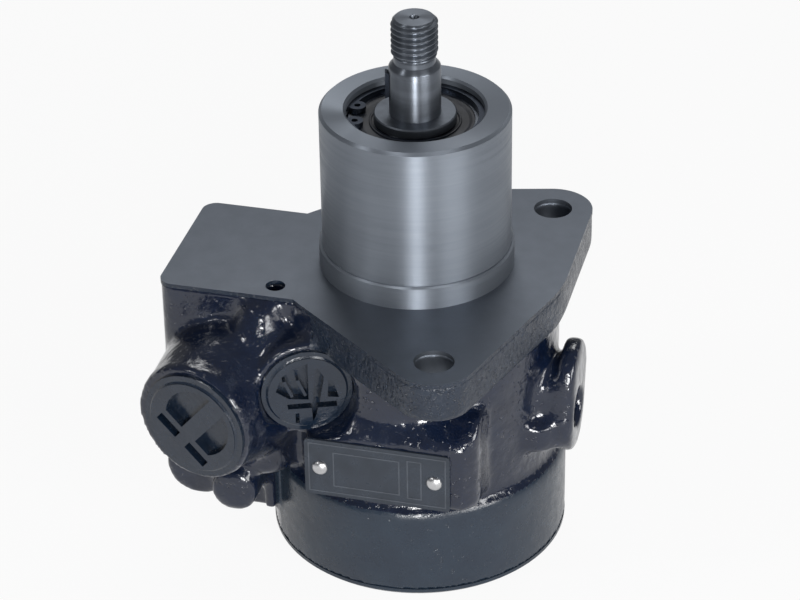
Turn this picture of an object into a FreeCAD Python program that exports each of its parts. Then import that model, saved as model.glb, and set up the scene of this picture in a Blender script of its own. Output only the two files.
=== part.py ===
import FreeCAD, Part
import math
import os
from types import SimpleNamespace

import Sketcher
from FreeCAD import Placement, Rotation, Vector

# Flange-mounted vane pump for power steering, in millimetres. The origin is on the shaft axis in the
# mounting face of the flange. +Z runs up the shaft, the valve block points to -X, and the ports face -Y.
# An angle called "turn" is measured about +Z from -Y, and is positive towards +X.

SIZES = {
    # Turned outside of the housing
    "nose_radius": (32.5, "pilot nose above the flange"),
    "nose_height": (59.0, "top of the nose above the flange face"),
    "nose_edge": (1.0, "chamfer on the top rim of the nose"),
    "collar_radius": (33.6, "raised foot of the nose"),
    "collar_height": (8.4, "height of the foot of the nose"),
    "collar_edge": (0.6, "chamfer on the foot of the nose"),
    "housing_depth": (105.9, "flange face down to the rear rim"),
    "body_radius": (49.5, "cast body under the flange"),
    "drum_radius": (52.5, "rear drum"),
    "drum_height": (34.9, "height of the rear drum"),
    "drum_edge": (1.2, "rounded edges of the drum, as chamfers"),
    # Flange
    "flange_thickness": (15.5, "mounting flange"),
    "lobe_radius": (14.0, "corner round a mounting bolt"),
    "front_bolt_x": (21.5, "front mounting bolt"),
    "front_bolt_y": (62.2, "front mounting bolt, in front of the axis"),
    "rear_bolt_x": (38.6, "rear mounting bolt"),
    "rear_bolt_y": (43.8, "rear mounting bolt, behind the axis"),
    "bolt_hole_radius": (6.75, "clearance hole for an M12 bolt"),
    "flange_right_radius": (53.0, "flange edge on the right"),
    "flange_back_radius": (47.3, "flange edge at the back"),
    "flange_front_radius": (49.5, "flange edge at the front left"),
    "flange_left_reach": (50.0, "hidden corner of the flange inside the block"),
    "flange_left_radius": (10.0, "radius of that corner"),
    "dowel_hole_x": (42.4, "locating hole, left of the axis"),
    "dowel_hole_y": (28.8, "locating hole, in front of the axis"),
    "dowel_hole_radius": (3.4, "locating hole"),
    "dowel_hole_depth": (12.0, "locating hole"),
    # Valve block
    "block_left": (82.6, "left face of the block"),
    "block_front": (36.0, "front face of the block"),
    "block_back": (20.4, "back face of the block"),
    "block_depth": (60.0, "block below the flange face"),
    "block_corner": (5.0, "vertical corners of the block"),
    # Suction port
    "suction_x": (63.0, "centre of the port face, left of the axis"),
    "suction_y": (62.6, "centre of the port face, in front of the axis"),
    "suction_z": (37.6, "port axis below the flange face"),
    "suction_turn": (-14.6, "direction of the port"),
    "suction_boss_radius": (22.1, "boss of the port"),
    "suction_boss_length": (46.0, "boss from its face into the block"),
    "suction_root_radius": (25.6, "boss where it meets the block"),
    "suction_root_start": (5.0, "boss behind its face, where it starts to widen"),
    "suction_root_end": (20.0, "boss behind its face, where it is widest"),
    "suction_root_length": (34.0, "wide part of the boss, from its face"),
    "suction_shift": (1.2, "port bore beside the middle of its boss"),
    "suction_bore_radius": (12.2, "bore for an M26 fitting"),
    "suction_bore_depth": (16.0, "bore of the port"),
    # Pressure port
    "pressure_x": (27.1, "centre of the port face, left of the axis"),
    "pressure_y": (46.9, "centre of the port face, in front of the axis"),
    "pressure_z": (28.1, "port axis below the flange face"),
    "pressure_turn": (24.0, "direction of the port"),
    "pressure_boss_radius": (18.2, "boss of the port"),
    "pressure_boss_length": (30.0, "boss from its face into the block"),
    "pressure_bore_radius": (8.3, "bore for an M18 fitting"),
    "pressure_bore_depth": (12.0, "bore of the port"),
    "spot_play": (0.5, "spot face round the pressure plug"),
    "spot_length": (14.0, "cut of the spot face into the flange"),
    # Transport plugs
    "seat_depth": (2.0, "spot face in the mouth of a port"),
    "plug_flange": (1.4, "thickness of the plug flanges"),
    "plug_rise": (0.8, "face of a plug above its flange"),
    "plug_margin": (2.6, "boss edge left bare round a plug"),
    "suction_cap_radius": (16.8, "raised face of the suction plug"),
    "pressure_cap_radius": (13.4, "raised face of the pressure plug"),
    "plug_play": (0.1, "radial play of a plug shank in its bore"),
    "plug_shank": (9.0, "length of a plug shank"),
    "plug_pocket": (3.4, "depth of the grip pockets"),
    "grip_radius": (12.4, "round outline of the grip pockets of the suction plug"),
    "grip_shift": (3.0, "middle of that outline along the grip bar"),
    "grip_turn": (50.0, "turn of the grip bar on its face"),
    "grip_side": (-0.7, "grip bar beside the middle of the plug"),
    "grip_bar": (3.3, "half width of the grip bar"),
    "grip_foot": (3.6, "foot of the grip pockets from the middle of the plug"),
    "plug_slot_inner": (6.0, "inner side of the edge slots from the middle"),
    "plug_slot_outer": (9.4, "outer side of the edge slots from the middle"),
    "plug_slot_start": (2.3, "inner end of an edge slot from the grip bar's line"),
    "plug_slot_length": (9.2, "length of the edge slots"),
    "fin_thickness": (1.0, "fins in the wedge pocket of the pressure plug"),
    "fin_turn": (-68.0, "direction of the fins"),
    "fin_length": (7.0, "fins"),
    "fin_pitch": (4.6, "distance between the fins"),
    "fin_x": (-1.9, "middle of the right fin"),
    "fin_y": (1.9, "middle of the right fin"),
    # Valve chest under the block
    "spool_x": (69.6, "axis of the spool bore, left of the shaft axis"),
    "spool_z": (71.0, "axis of the spool bore below the flange face"),
    "chest_radius": (11.8, "cast cylinder round the spool bore"),
    "chest_front": (42.0, "front end of the cylinder"),
    "chest_back": (21.5, "back end of the cylinder"),
    "chest_edge": (4.0, "rounded front edge of the cylinder"),
    "stub_x": (54.2, "blind cast stub beside the spool bore"),
    "stub_z": (73.4, "stub axis below the flange face"),
    "stub_front": (50.5, "face of the stub"),
    "stub_length": (26.0, "stub from its face into the chest"),
    "stub_radius": (8.4, "stub"),
    "column_x": (46.0, "cast column between the ports, left of the axis"),
    "column_y": (36.0, "column in front of the axis"),
    "column_radius": (11.5, "column"),
    "column_foot": (68.0, "foot of the column below the flange face"),
    "column_edge": (2.5, "rounded foot of the column"),
    "column_shoulder": (15.0, "foot of the sloped top of the column below the flange face"),
    "column_top": (2.5, "top of the column below the flange face"),
    "column_tip": (5.0, "radius at the top of the column"),
    "web_bottom": (94.0, "foot of the web between chest and drum"),
    "web_front": (28.0, "front face of the web"),
    "web_thickness": (9.0, "web"),
    "web_left": (63.0, "left end of the web"),
    "rib_thickness": (4.0, "ribs in front of the web"),
    "rib_front": (35.0, "front edge of the ribs"),
    "rib_bottom": (90.0, "foot of the ribs below the flange face"),
    "rib_pitch": (9.5, "spacing of the ribs"),
    "rib_x": (46.0, "left rib, left of the axis"),
    # Pad for the name plate
    "pad_front": (53.8, "face of the pad, in front of the axis"),
    "pad_left": (26.4, "left end of the pad"),
    "pad_right": (33.6, "right end of the pad"),
    "pad_bevel": (5.0, "bevel on the right end of the pad"),
    "pad_top": (41.0, "upper edge of the pad below the flange face"),
    "pad_bottom": (66.5, "lower edge of the pad below the flange face"),
    "pad_slope": (9.0, "run of the sloped top of the pad"),
    "plate_length": (51.0, "name plate"),
    "plate_height": (22.5, "name plate"),
    "plate_thickness": (0.8, "name plate"),
    "plate_corner": (1.5, "corners of the name plate"),
    "rivet_pitch": (40.2, "distance between the drive rivets"),
    "rivet_x": (20.9, "left rivet, left of the axis"),
    "rivet_z": (54.4, "rivets below the flange face"),
    "rivet_radius": (1.3, "shank of a drive rivet"),
    "rivet_head_radius": (2.75, "round head of a drive rivet"),
    "rivet_head_height": (1.5, "round head of a drive rivet"),
    "rivet_length": (5.0, "shank of a drive rivet"),
    # Side port
    "side_face": (59.5, "face of the side port, right of the axis"),
    "side_y": (8.6, "side port, in front of the axis"),
    "side_z": (47.0, "axis of the side port below the flange face"),
    "side_radius": (12.4, "boss of the side port"),
    "side_lift": (11.6, "upper round of the boss above the port axis"),
    "side_shift": (3.4, "upper round of the boss behind the port axis"),
    "side_drop": (4.0, "lower round of the boss below the port axis"),
    "side_thickness": (6.5, "plate of the boss"),
    "side_neck_step": (1.0, "neck inside the outline of the boss"),
    "side_neck_lift": (7.0, "upper round of the neck above the port axis"),
    "side_neck_length": (26.0, "neck from the plate into the body"),
    "side_swell_radius": (10.0, "cast swelling beside the neck"),
    "side_swell_z": (47.5, "swelling below the flange face"),
    "side_swell_x": (45.5, "swelling right of the axis"),
    "side_swell_y": (15.0, "swelling in front of the axis"),
    "side_swell_length": (11.0, "height of the swelling"),
    "side_bore_radius": (7.2, "bore for an M16 fitting"),
    "side_bore_depth": (14.0, "bore of the side port"),
    "side_drill_radius": (3.5, "drilling behind the side port"),
    "side_drill_depth": (17.5, "drilling behind the side port"),
    # Cavity and pump pack
    "cavity_radius": (41.0, "rear bore of the housing"),
    "cavity_roof": (50.0, "roof of the rear bore below the flange face"),
    "side_plate_thickness": (8.0, "front and rear side plates"),
    "cam_height": (20.0, "cam ring"),
    "cam_minor": (28.2, "inside radius of the cam ring across its short axis"),
    "cam_rise": (2.4, "extra inside radius along the long axis"),
    "rotor_radius": (27.0, "rotor"),
    "rotor_play": (0.06, "axial play of rotor and vanes at each side"),
    "vane_count": (10, "vanes"),
    "vane_thickness": (1.9, "vane"),
    "vane_length": (9.0, "vane, along its slot"),
    "vane_play": (0.05, "play of a vane at each side of its slot"),
    "vane_tip_play": (0.1, "vane tip inside the cam ring at its narrowest"),
    "slot_foot": (2.6, "slot left free under a vane at rest"),
    "slot_eye": (1.6, "round foot of a vane slot"),
    "pin_inset": (5.6, "dowel pins inside the rear bore"),
    "pin_radius": (2.5, "dowel pins"),
    "port_offset": (15.8, "oil openings of the side plates from the axis, in x and in y"),
    "port_radius": (2.8, "oil openings of the side plates"),
    "overcut": (1.0, "cuts past the surface that they leave through"),
    "fit_gap": (0.05, "radial gap between parts that are fitted without turning"),
    "run_gap": (0.04, "radial gap of a running fit"),
    # Rear cover
    "cover_thickness": (13.0, "rear cover"),
    "cover_recess": (8.0, "spring recess in the cover"),
    "cover_recess_radius": (15.0, "spring recess in the cover"),
    "ring_width": (2.0, "snap ring of the cover"),
    "ring_bite": (2.4, "depth of the snap ring groove"),
    "ring_inset": (1.9, "snap ring above the rear rim"),
    "ring_band": (4.6, "radial width of the snap ring"),
    "ring_opening": (14.0, "gap between the ends of the snap ring"),
    "seal_cord": (2.6, "cord of the round seals"),
    "seal_squeeze": (0.15, "play of the seal cord at each side of its groove"),
    "spring_wire": (2.2, "wire of the plate spring"),
    "spring_coil": (11.0, "mean radius of the plate spring"),
    "spring_turns": (2.25, "turns of the plate spring"),
    # Shaft
    "shaft_radius": (8.75, "drive end"),
    "shaft_reach": (33.5, "end of the shaft above the nose"),
    "thread_radius": (7.9, "thread of the shaft"),
    "thread_reach": (19.6, "lower end of the thread above the nose"),
    "relief_radius": (7.1, "relief under the thread"),
    "relief_reach": (17.4, "lower end of the relief above the nose"),
    "relief_slope": (0.7, "sloped upper end of the relief"),
    "shoulder_reach": (16.0, "shoulder of the drive end above the nose"),
    "shaft_edge": (1.4, "chamfer on the end of the shaft"),
    "centre_radius": (1.7, "centre drilling"),
    "centre_depth": (3.2, "centre drilling"),
    "seat_radius": (10.0, "bearing seat"),
    "shaft_collar_radius": (12.4, "collar under the bearing"),
    "shaft_collar_height": (3.0, "collar under the bearing"),
    "land_radius": (9.6, "running land of the shaft seal"),
    "land_foot": (10.0, "lower end of the running land above the flange face"),
    "journal_radius": (9.0, "shaft in the bush and the rotor"),
    "tail_radius": (8.0, "shaft in the rear side plate"),
    "spline_rise": (1.3, "height of the spline teeth"),
    "spline_width": (3.0, "width of a spline tooth"),
    "spline_count": (6, "spline teeth"),
    "spline_play": (0.05, "play of the spline teeth"),
    "key_width": (3.0, "disc key"),
    "key_height": (3.7, "disc key"),
    "key_diameter": (10.0, "disc key"),
    "key_seat": (2.5, "depth of the key seat in the shaft"),
    "key_reach": (9.0, "middle of the key above the nose"),
    "key_turn": (-75.0, "direction of the key"),
    # Bearing and its fittings
    "bearing_inset": (4.5, "outer face of the bearing below the top of the nose"),
    "bearing_width": (14.0, "ball bearing"),
    "bearing_radius": (23.5, "ball bearing"),
    "inner_track_depth": (0.77, "ball groove of the inner ring"),
    "outer_track_depth": (0.47, "ball groove of the outer ring"),
    "race_edge": (0.8, "chamfers of the bearing rings"),
    "ball_pitch": (16.75, "ball centres from the axis"),
    "ball_radius": (3.92, "bearing balls"),
    "ball_count": (8, "bearing balls"),
    "race_play": (0.06, "play of a ball in the ring grooves"),
    "cage_play": (0.08, "play of a ball in the cage"),
    "cage_band": (1.2, "radial thickness of the cage"),
    "cage_height": (9.6, "cage"),
    "shield_thickness": (1.0, "seal of the bearing"),
    "shield_lip": (0.7, "seal of the bearing at its inner edge"),
    "shield_inset": (0.3, "seal below the bearing face"),
    "shield_gap": (0.15, "seal clear of the inner ring"),
    "spacer_radius": (14.0, "spacer ring on the bearing"),
    "spacer_height": (3.0, "spacer ring on the bearing"),
    "clip_thickness": (1.75, "bearing circlip"),
    "clip_radius": (24.6, "outside of the circlip"),
    "clip_band": (3.2, "radial width of the circlip"),
    "clip_gap": (0.1, "play of the circlip in its groove"),
    "clip_ear": (2.9, "radius of the circlip ears"),
    "clip_eye": (1.1, "holes in the circlip ears"),
    "clip_ear_turn": (15.0, "half angle between the circlip ears"),
    "clip_turn": (-80.0, "direction of the circlip ears"),
    "bore_edge": (0.8, "chamfer on the mouth of the nose bore"),
    "bore_relief": (19.0, "free space under the bearing"),
    "bore_relief_height": (2.5, "free space under the bearing"),
    "seal_radius": (17.5, "bore of the shaft seal"),
    "seal_height": (7.0, "shaft seal"),
    "seal_wall": (1.6, "case of the shaft seal"),
    "seal_shelf": (1.0, "shaft seal above the foot of its bore"),
    "bush_radius": (11.5, "outside of the shaft bush"),
    "bush_length": (30.0, "shaft bush"),
    "bush_top": (4.0, "top of the bush below the flange face"),
    # Flow control valve
    "spool_radius": (7.5, "bore of the spool"),
    "spool_front": (32.0, "front end of the spool bore"),
    "spool_length": (22.0, "spool"),
    "spool_travel": (5.0, "travel of the spool"),
    "spool_groove": (1.2, "depth of the spool groove"),
    "spool_groove_start": (6.2, "start of the spool groove"),
    "spool_groove_end": (9.9, "end of the spool groove"),
    "valve_spring_wire": (1.2, "wire of the valve spring"),
    "valve_spring_coil": (3.4, "mean radius of the valve spring"),
    "valve_spring_turns": (8.5, "turns of the valve spring"),
    "spool_pocket_radius": (5.0, "spring pocket of the spool"),
    "spool_pocket_depth": (9.0, "spring pocket of the spool"),
    "relief_bore_radius": (3.2, "relief valve bore of the spool"),
    "relief_bore_depth": (9.0, "relief valve bore of the spool"),
    "relief_seat_length": (3.2, "seat screw of the relief valve"),
    "relief_seat_hole": (1.1, "hole of the seat screw"),
    "relief_ball_radius": (1.8, "ball of the relief valve"),
    "relief_ball_lift": (0.7, "lift of that ball"),
    "relief_wire": (0.6, "wire of the relief spring"),
    "relief_coil": (1.6, "mean radius of the relief spring"),
    "relief_turns": (3.25, "turns of the relief spring"),
    "valve_plug_length": (9.0, "threaded part of the valve plug"),
    "valve_plug_radius": (8.9, "threaded part of the valve plug"),
    "valve_plug_head": (6.0, "hexagon head of the valve plug"),
    "valve_plug_flats": (17.0, "hexagon across its flats"),
    "hexagon_half_side": (30.0, "angle from a corner of the hexagon to the middle of a side"),
    "valve_washer": (1.5, "sealing washer of the valve plug"),
    "valve_washer_radius": (11.0, "sealing washer of the valve plug"),
}


class Size:
    """A number together with the spreadsheet expression that gives it."""

    def __init__(self, value, text):
        self.value = value
        self.text = text

    def joined(self, sign, other, value, swapped=False):
        left, right = (text_of(other), self.text) if swapped else (self.text, text_of(other))
        return Size(value, f"({left} {sign} {right})")

    def __add__(self, other):
        return self.joined("+", other, self.value + value_of(other))

    def __radd__(self, other):
        return self.joined("+", other, value_of(other) + self.value, True)

    def __sub__(self, other):
        return self.joined("-", other, self.value - value_of(other))

    def __rsub__(self, other):
        return self.joined("-", other, value_of(other) - self.value, True)

    def __mul__(self, other):
        return self.joined("*", other, self.value * value_of(other))

    def __rmul__(self, other):
        return self.joined("*", other, value_of(other) * self.value, True)

    def __truediv__(self, other):
        return self.joined("/", other, self.value / value_of(other))

    def __rtruediv__(self, other):
        return self.joined("/", other, value_of(other) / self.value, True)

    def __neg__(self):
        return Size(-self.value, f"(0 - {self.text})")


def value_of(size):
    return size.value if isinstance(size, Size) else float(size)


def text_of(size):
    return size.text if isinstance(size, Size) else f"({float(size)})"


def root(size):
    return Size(math.sqrt(size.value), f"sqrt({size.text})")


def sine(angle):
    return Size(math.sin(math.radians(angle.value)), f"sin({angle.text} * 1 deg)")


def cosine(angle):
    return Size(math.cos(math.radians(angle.value)), f"cos({angle.text} * 1 deg)")


doc = FreeCAD.newDocument("power_steering_pump")
sheet = doc.addObject("Spreadsheet::Sheet", "Sizes")
for row, (alias, (number, note)) in enumerate(SIZES.items(), start=1):
    sheet.set(f"A{row}", alias)
    sheet.set(f"B{row}", str(number))
    sheet.set(f"C{row}", note)
    sheet.setAlias(f"B{row}", alias)
doc.recompute()
S = SimpleNamespace(**{alias: Size(float(number), f"Sizes.{alias}") for alias, (number, _) in SIZES.items()})

pieces = []


# Helpers for bodies, sketches and features


def bind(feature, **sizes):
    """Set properties of a feature, and tie those that come from the spreadsheet."""
    for name, size in sizes.items():
        setattr(feature, name, value_of(size))
        if isinstance(size, Size):
            feature.setExpression(name, size.text)


def placed(target, prop, x=0, y=0, z=0, turn=0, tilt=0):
    """Place a body or a sketch. A tilt of 90 points its own Z to -Y before the turn about Z."""
    setattr(
        target,
        prop,
        Placement(Vector(value_of(x), value_of(y), value_of(z)), Rotation(value_of(turn), 0, value_of(tilt))),
    )
    base = f"vector({text_of(x)}; {text_of(y)}; {text_of(z)})"
    target.setExpression(prop, f"placement({base}; rotation({text_of(turn)}; 0; {text_of(tilt)}))")


def new_body(label, **place):
    body = doc.addObject("PartDesign::Body", label)
    body.Label = label
    if place:
        placed(body, "Placement", **place)
    pieces.append(body)
    return body


def new_sketch(body, name, plane="XY_Plane", **place):
    sketch = body.newObject("Sketcher::SketchObject", name)
    support = [item for item in body.Origin.OriginFeatures if item.Role == plane][0]
    sketch.AttachmentSupport = [(support, "")]
    sketch.MapMode = "FlatFace"
    if place:
        placed(sketch, "AttachmentOffset", **place)
    return sketch


def pin_point(sketch, geometry, point, x, y):
    for kind, size in (("DistanceX", x), ("DistanceY", y)):
        index = sketch.addConstraint(Sketcher.Constraint(kind, -1, 1, geometry, point, value_of(size)))
        if isinstance(size, Size):
            sketch.setExpression(f"Constraints[{index}]", size.text)


def pin_radius(sketch, geometry, radius):
    index = sketch.addConstraint(Sketcher.Constraint("Radius", geometry, value_of(radius)))
    if isinstance(radius, Size):
        sketch.setExpression(f"Constraints[{index}]", radius.text)


def polygon(sketch, points):
    """Closed outline of straight lines through the given corners."""
    first = sketch.GeometryCount
    count = len(points)
    ends = [Vector(value_of(x), value_of(y), 0) for x, y in points]
    for index in range(count):
        sketch.addGeometry(Part.LineSegment(ends[index], ends[(index + 1) % count]), False)
    for index in range(count):
        following = first + (index + 1) % count
        sketch.addConstraint(Sketcher.Constraint("Coincident", first + index, 2, following, 1))
    for index, (x, y) in enumerate(points):
        pin_point(sketch, first + index, 1, x, y)


def circle(sketch, x, y, radius):
    centre = Vector(value_of(x), value_of(y), 0)
    index = sketch.addGeometry(Part.Circle(centre, Vector(0, 0, 1), value_of(radius)), False)
    pin_point(sketch, index, 3, x, y)
    pin_radius(sketch, index, radius)


def belt(sketch, wheels):
    """Closed outline that runs round circles, counterclockwise, on straight lines tangent to them."""
    count = len(wheels)
    numbers = [tuple(value_of(item) for item in wheel) for wheel in wheels]
    normals = []
    for index in range(count):
        x, y, r = numbers[index]
        next_x, next_y, next_r = numbers[(index + 1) % count]
        run = math.hypot(next_x - x, next_y - y)
        normals.append(math.atan2(next_y - y, next_x - x) - math.acos((r - next_r) / run))

    def on_wheel(index, angle):
        x, y, r = numbers[index]
        return Vector(x + r * math.cos(angle), y + r * math.sin(angle), 0)

    lines = []
    arcs = []
    for index in range(count):
        following = (index + 1) % count
        ends = on_wheel(index, normals[index]), on_wheel(following, normals[index])
        lines.append(sketch.addGeometry(Part.LineSegment(*ends), False))
    for index in range(count):
        x, y, r = numbers[index]
        start, end = normals[index - 1], normals[index]
        while end < start:
            end += 2 * math.pi
        ring = Part.Circle(Vector(x, y, 0), Vector(0, 0, 1), r)
        arcs.append(sketch.addGeometry(Part.ArcOfCircle(ring, start, end), False))
    for index in range(count):
        sketch.addConstraint(Sketcher.Constraint("Tangent", lines[index - 1], 2, arcs[index], 1))
        sketch.addConstraint(Sketcher.Constraint("Tangent", arcs[index], 2, lines[index], 1))
        x, y, r = wheels[index]
        pin_point(sketch, arcs[index], 3, x, y)
        pin_radius(sketch, arcs[index], r)


def rectangle(sketch, left, right, low, high):
    polygon(sketch, [(left, low), (right, low), (right, high), (left, high)])


def rounded(sketch, left, right, low, high, corner):
    belt(
        sketch,
        [
            (left + corner, low + corner, corner),
            (right - corner, low + corner, corner),
            (right - corner, high - corner, corner),
            (left + corner, high - corner, corner),
        ],
    )


def require_growth(body, feature, before):
    """Stop if a feature adds nothing, or doesn't join what is there."""
    if len(body.Shape.Solids) != 1 or not body.Shape.Volume > before:
        raise RuntimeError(f"{feature.Name} isn't joined to {body.Label}")


def pad(body, sketch, length, down=False):
    """Pad a sketch along its normal, or against it, and make sure that it joins what is there."""
    before = body.Shape.Volume if body.Tip else 0
    feature = body.newObject("PartDesign::Pad", sketch.Name + "_pad")
    feature.Profile = sketch
    feature.Reversed = down
    bind(feature, Length=length)
    doc.recompute()
    require_growth(body, feature, before)
    return feature


def pocket(body, sketch, depth, up=False):
    """Cut a sketch against its normal, or along it, and make sure that it cuts."""
    before = body.Shape.Volume
    feature = body.newObject("PartDesign::Pocket", sketch.Name + "_pocket")
    feature.Profile = sketch
    feature.Reversed = up
    bind(feature, Length=depth)
    doc.recompute()
    if not body.Shape.Volume < before:
        raise RuntimeError(f"{sketch.Name} cuts nothing")
    return feature


def revolve(body, sketch):
    """Turn a sketch about its own upright axis, and make sure that it joins what is there."""
    before = body.Shape.Volume if body.Tip else 0
    feature = body.newObject("PartDesign::Revolution", sketch.Name + "_turn")
    feature.Profile = sketch
    feature.ReferenceAxis = (sketch, ["V_Axis"])
    feature.Angle = 360
    doc.recompute()
    require_growth(body, feature, before)
    return feature


def groove(body, sketch):
    before = body.Shape.Volume
    feature = body.newObject("PartDesign::Groove", sketch.Name + "_groove")
    feature.Profile = sketch
    feature.ReferenceAxis = (sketch, ["V_Axis"])
    feature.Angle = 360
    doc.recompute()
    if not body.Shape.Volume < before:
        raise RuntimeError(f"{sketch.Name} cuts nothing")
    return feature


def polar(body, feature, count, angle=360.0):
    """Repeat a feature about the Z axis of its body."""
    pattern = body.newObject("PartDesign::PolarPattern", feature.Name + "_pattern")
    pattern.Originals = [feature]
    pattern.Axis = ([item for item in body.Origin.OriginFeatures if item.Role == "Z_Axis"][0], [""])
    pattern.Angle = angle
    pattern.Occurrences = int(value_of(count))
    if isinstance(count, Size):
        pattern.setExpression("Occurrences", count.text)
    body.Tip = pattern
    doc.recompute()
    return pattern


def turned(label, points, **place):
    """A body turned about its own Z axis from an outline of radius and height."""
    body = new_body(label, **place)
    sketch = new_sketch(body, f"{label}_outline", "XZ_Plane")
    polygon(sketch, points)
    revolve(body, sketch)
    return body


def shaped(label, shape, **place):
    """A piece whose form is set directly, with its placement set after it."""
    piece = doc.addObject("Part::Feature", label)
    piece.Label = label
    piece.Shape = shape
    placed(piece, "Placement", **place)
    pieces.append(piece)
    return piece


def coil(mean_radius, wire_radius, height, turns):
    """Coil spring that stands on Z = 0 and is as high as it says, over its wire."""
    pitch = (height - 2 * wire_radius) / turns
    spine = Part.makeHelix(pitch, pitch * turns, mean_radius)
    spine.translate(Vector(0, 0, wire_radius))
    slope = pitch / (2 * math.pi * mean_radius)
    section = Part.makeCircle(wire_radius, Vector(mean_radius, 0, wire_radius), Vector(0, 1, slope))
    return Part.Wire(spine.Edges).makePipeShell([Part.Wire([section])], True, True)


# Levels that several pieces share, measured from the flange face

rear_rim = -S.housing_depth
roof = -S.cavity_roof
cam_top = roof - S.side_plate_thickness
cam_foot = cam_top - S.cam_height
plate_foot = cam_foot - S.side_plate_thickness
ring_foot = rear_rim + S.ring_inset
cover_foot = ring_foot + S.ring_width
cover_top = cover_foot + S.cover_thickness
bearing_face = S.nose_height - S.bearing_inset
bearing_foot = bearing_face - S.bearing_width
seal_top = bearing_foot - S.bore_relief_height
seal_foot = seal_top - S.seal_height - S.seal_shelf
collar_foot = bearing_foot - S.shaft_collar_height
clip_top = bearing_face + S.clip_thickness
shoulder_top = S.nose_height + S.shoulder_reach
relief_foot = S.nose_height + S.relief_reach
thread_foot = S.nose_height + S.thread_reach
shaft_top = S.nose_height + S.shaft_reach
key_z = S.nose_height + S.key_reach
inner_race_radius = S.ball_pitch - S.ball_radius + S.inner_track_depth
outer_race_radius = S.ball_pitch + S.ball_radius - S.outer_track_depth
pin_pitch = S.cavity_radius - S.pin_inset


# Housing: drum, body, flange, nose, valve block and port bosses in one casting

housing = new_body("housing")

outline = new_sketch(housing, "housing_outline", "XZ_Plane")
drum_top = rear_rim + S.drum_height
polygon(
    outline,
    [
        (0, rear_rim),
        (S.drum_radius - S.drum_edge, rear_rim),
        (S.drum_radius, rear_rim + S.drum_edge),
        (S.drum_radius, drum_top - S.drum_edge),
        (S.drum_radius - S.drum_edge, drum_top),
        (S.body_radius, drum_top),
        (S.body_radius, -S.flange_thickness / 2),
        (S.collar_radius, -S.flange_thickness / 2),
        (S.collar_radius, S.collar_height - S.collar_edge),
        (S.collar_radius - S.collar_edge, S.collar_height),
        (S.nose_radius, S.collar_height),
        (S.nose_radius, S.nose_height - S.nose_edge),
        (S.nose_radius - S.nose_edge, S.nose_height),
        (0, S.nose_height),
    ],
)
revolve(housing, outline)

flange = new_sketch(housing, "flange_outline")
belt(
    flange,
    [
        (S.front_bolt_x, -S.front_bolt_y, S.lobe_radius),
        (0, 0, S.flange_right_radius),
        (S.rear_bolt_x, S.rear_bolt_y, S.lobe_radius),
        (0, 0, S.flange_back_radius),
        (-S.flange_left_reach, 0, S.flange_left_radius),
        (0, 0, S.flange_front_radius),
    ],
)
pad(housing, flange, S.flange_thickness, down=True)

web = new_sketch(housing, "web", z=-S.web_bottom)
rectangle(web, -S.web_left, -S.cavity_radius / 2, -S.web_front, -S.web_front + S.web_thickness)
pad(housing, web, S.web_bottom - S.block_depth / 2)

for number in range(2):
    rib = new_sketch(housing, f"rib_{number + 1}", z=-S.rib_bottom)
    left = -S.rib_x + S.rib_pitch * number - S.rib_thickness / 2
    rectangle(rib, left, left + S.rib_thickness, -S.rib_front, -S.web_front + S.web_thickness / 2)
    pad(housing, rib, S.rib_bottom - S.block_depth / 2)

name_pad = new_sketch(housing, "name_pad", "YZ_Plane", z=-S.pad_left)
polygon(
    name_pad,
    [
        (-S.pad_front, -S.pad_bottom),
        (-S.pad_front, -S.pad_top),
        (-S.pad_front + S.pad_slope, -S.pad_top + S.pad_slope),
        (-S.cavity_radius / 2, -S.pad_top + S.pad_slope),
        (-S.cavity_radius / 2, -S.pad_bottom),
    ],
)
pad(housing, name_pad, S.pad_left + S.pad_right)
pad_end = new_sketch(housing, "name_pad_bevel", z=-S.pad_top + S.pad_slope)
polygon(
    pad_end,
    [
        (S.pad_right - 2 * S.pad_bevel, -S.pad_front - S.pad_bevel),
        (S.pad_right + S.pad_bevel, -S.pad_front - S.pad_bevel),
        (S.pad_right + S.pad_bevel, -S.pad_front + 2 * S.pad_bevel),
    ],
)
pocket(housing, pad_end, S.pad_bottom - S.pad_top + S.pad_slope)

block = new_sketch(housing, "block_outline")
rounded(block, -S.block_left, 0, -S.block_front, S.block_back, S.block_corner)
pad(housing, block, S.block_depth, down=True)

suction_face = {"z": -S.suction_z, "turn": S.suction_turn}
suction_boss_place = {"x": -S.suction_x, "y": -S.suction_y, "tilt": 90, **suction_face}
suction_place = {
    "x": -S.suction_x + cosine(S.suction_turn) * S.suction_shift,
    "y": -S.suction_y + sine(S.suction_turn) * S.suction_shift,
    "tilt": 90,
    **suction_face,
}
pressure_place = {"x": -S.pressure_x, "y": -S.pressure_y, "z": -S.pressure_z, "turn": S.pressure_turn, "tilt": 90}
for name, place, boss_radius, boss_length in (
    ("suction", suction_boss_place, S.suction_boss_radius, S.suction_boss_length),
    ("pressure", pressure_place, S.pressure_boss_radius, S.pressure_boss_length),
):
    boss = new_sketch(housing, f"{name}_boss", **place)
    circle(boss, 0, 0, boss_radius)
    pad(housing, boss, boss_length, down=True)

suction_root = new_sketch(housing, "suction_boss_root", x=-S.suction_x, y=-S.suction_y, **suction_face)
polygon(
    suction_root,
    [
        (0, S.suction_root_start),
        (S.suction_boss_radius, S.suction_root_start),
        (S.suction_root_radius, S.suction_root_end),
        (S.suction_root_radius, S.suction_root_length),
        (0, S.suction_root_length),
    ],
)
revolve(housing, suction_root)

chest = new_sketch(housing, "chest", y=-S.chest_front, tilt=90)
circle(chest, -S.spool_x, -S.spool_z, S.chest_radius)
pad(housing, chest, S.chest_front + S.chest_back, down=True)

stub = new_sketch(housing, "stub", y=-S.stub_front, tilt=90)
circle(stub, -S.stub_x, -S.stub_z, S.stub_radius)
pad(housing, stub, S.stub_length, down=True)

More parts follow.
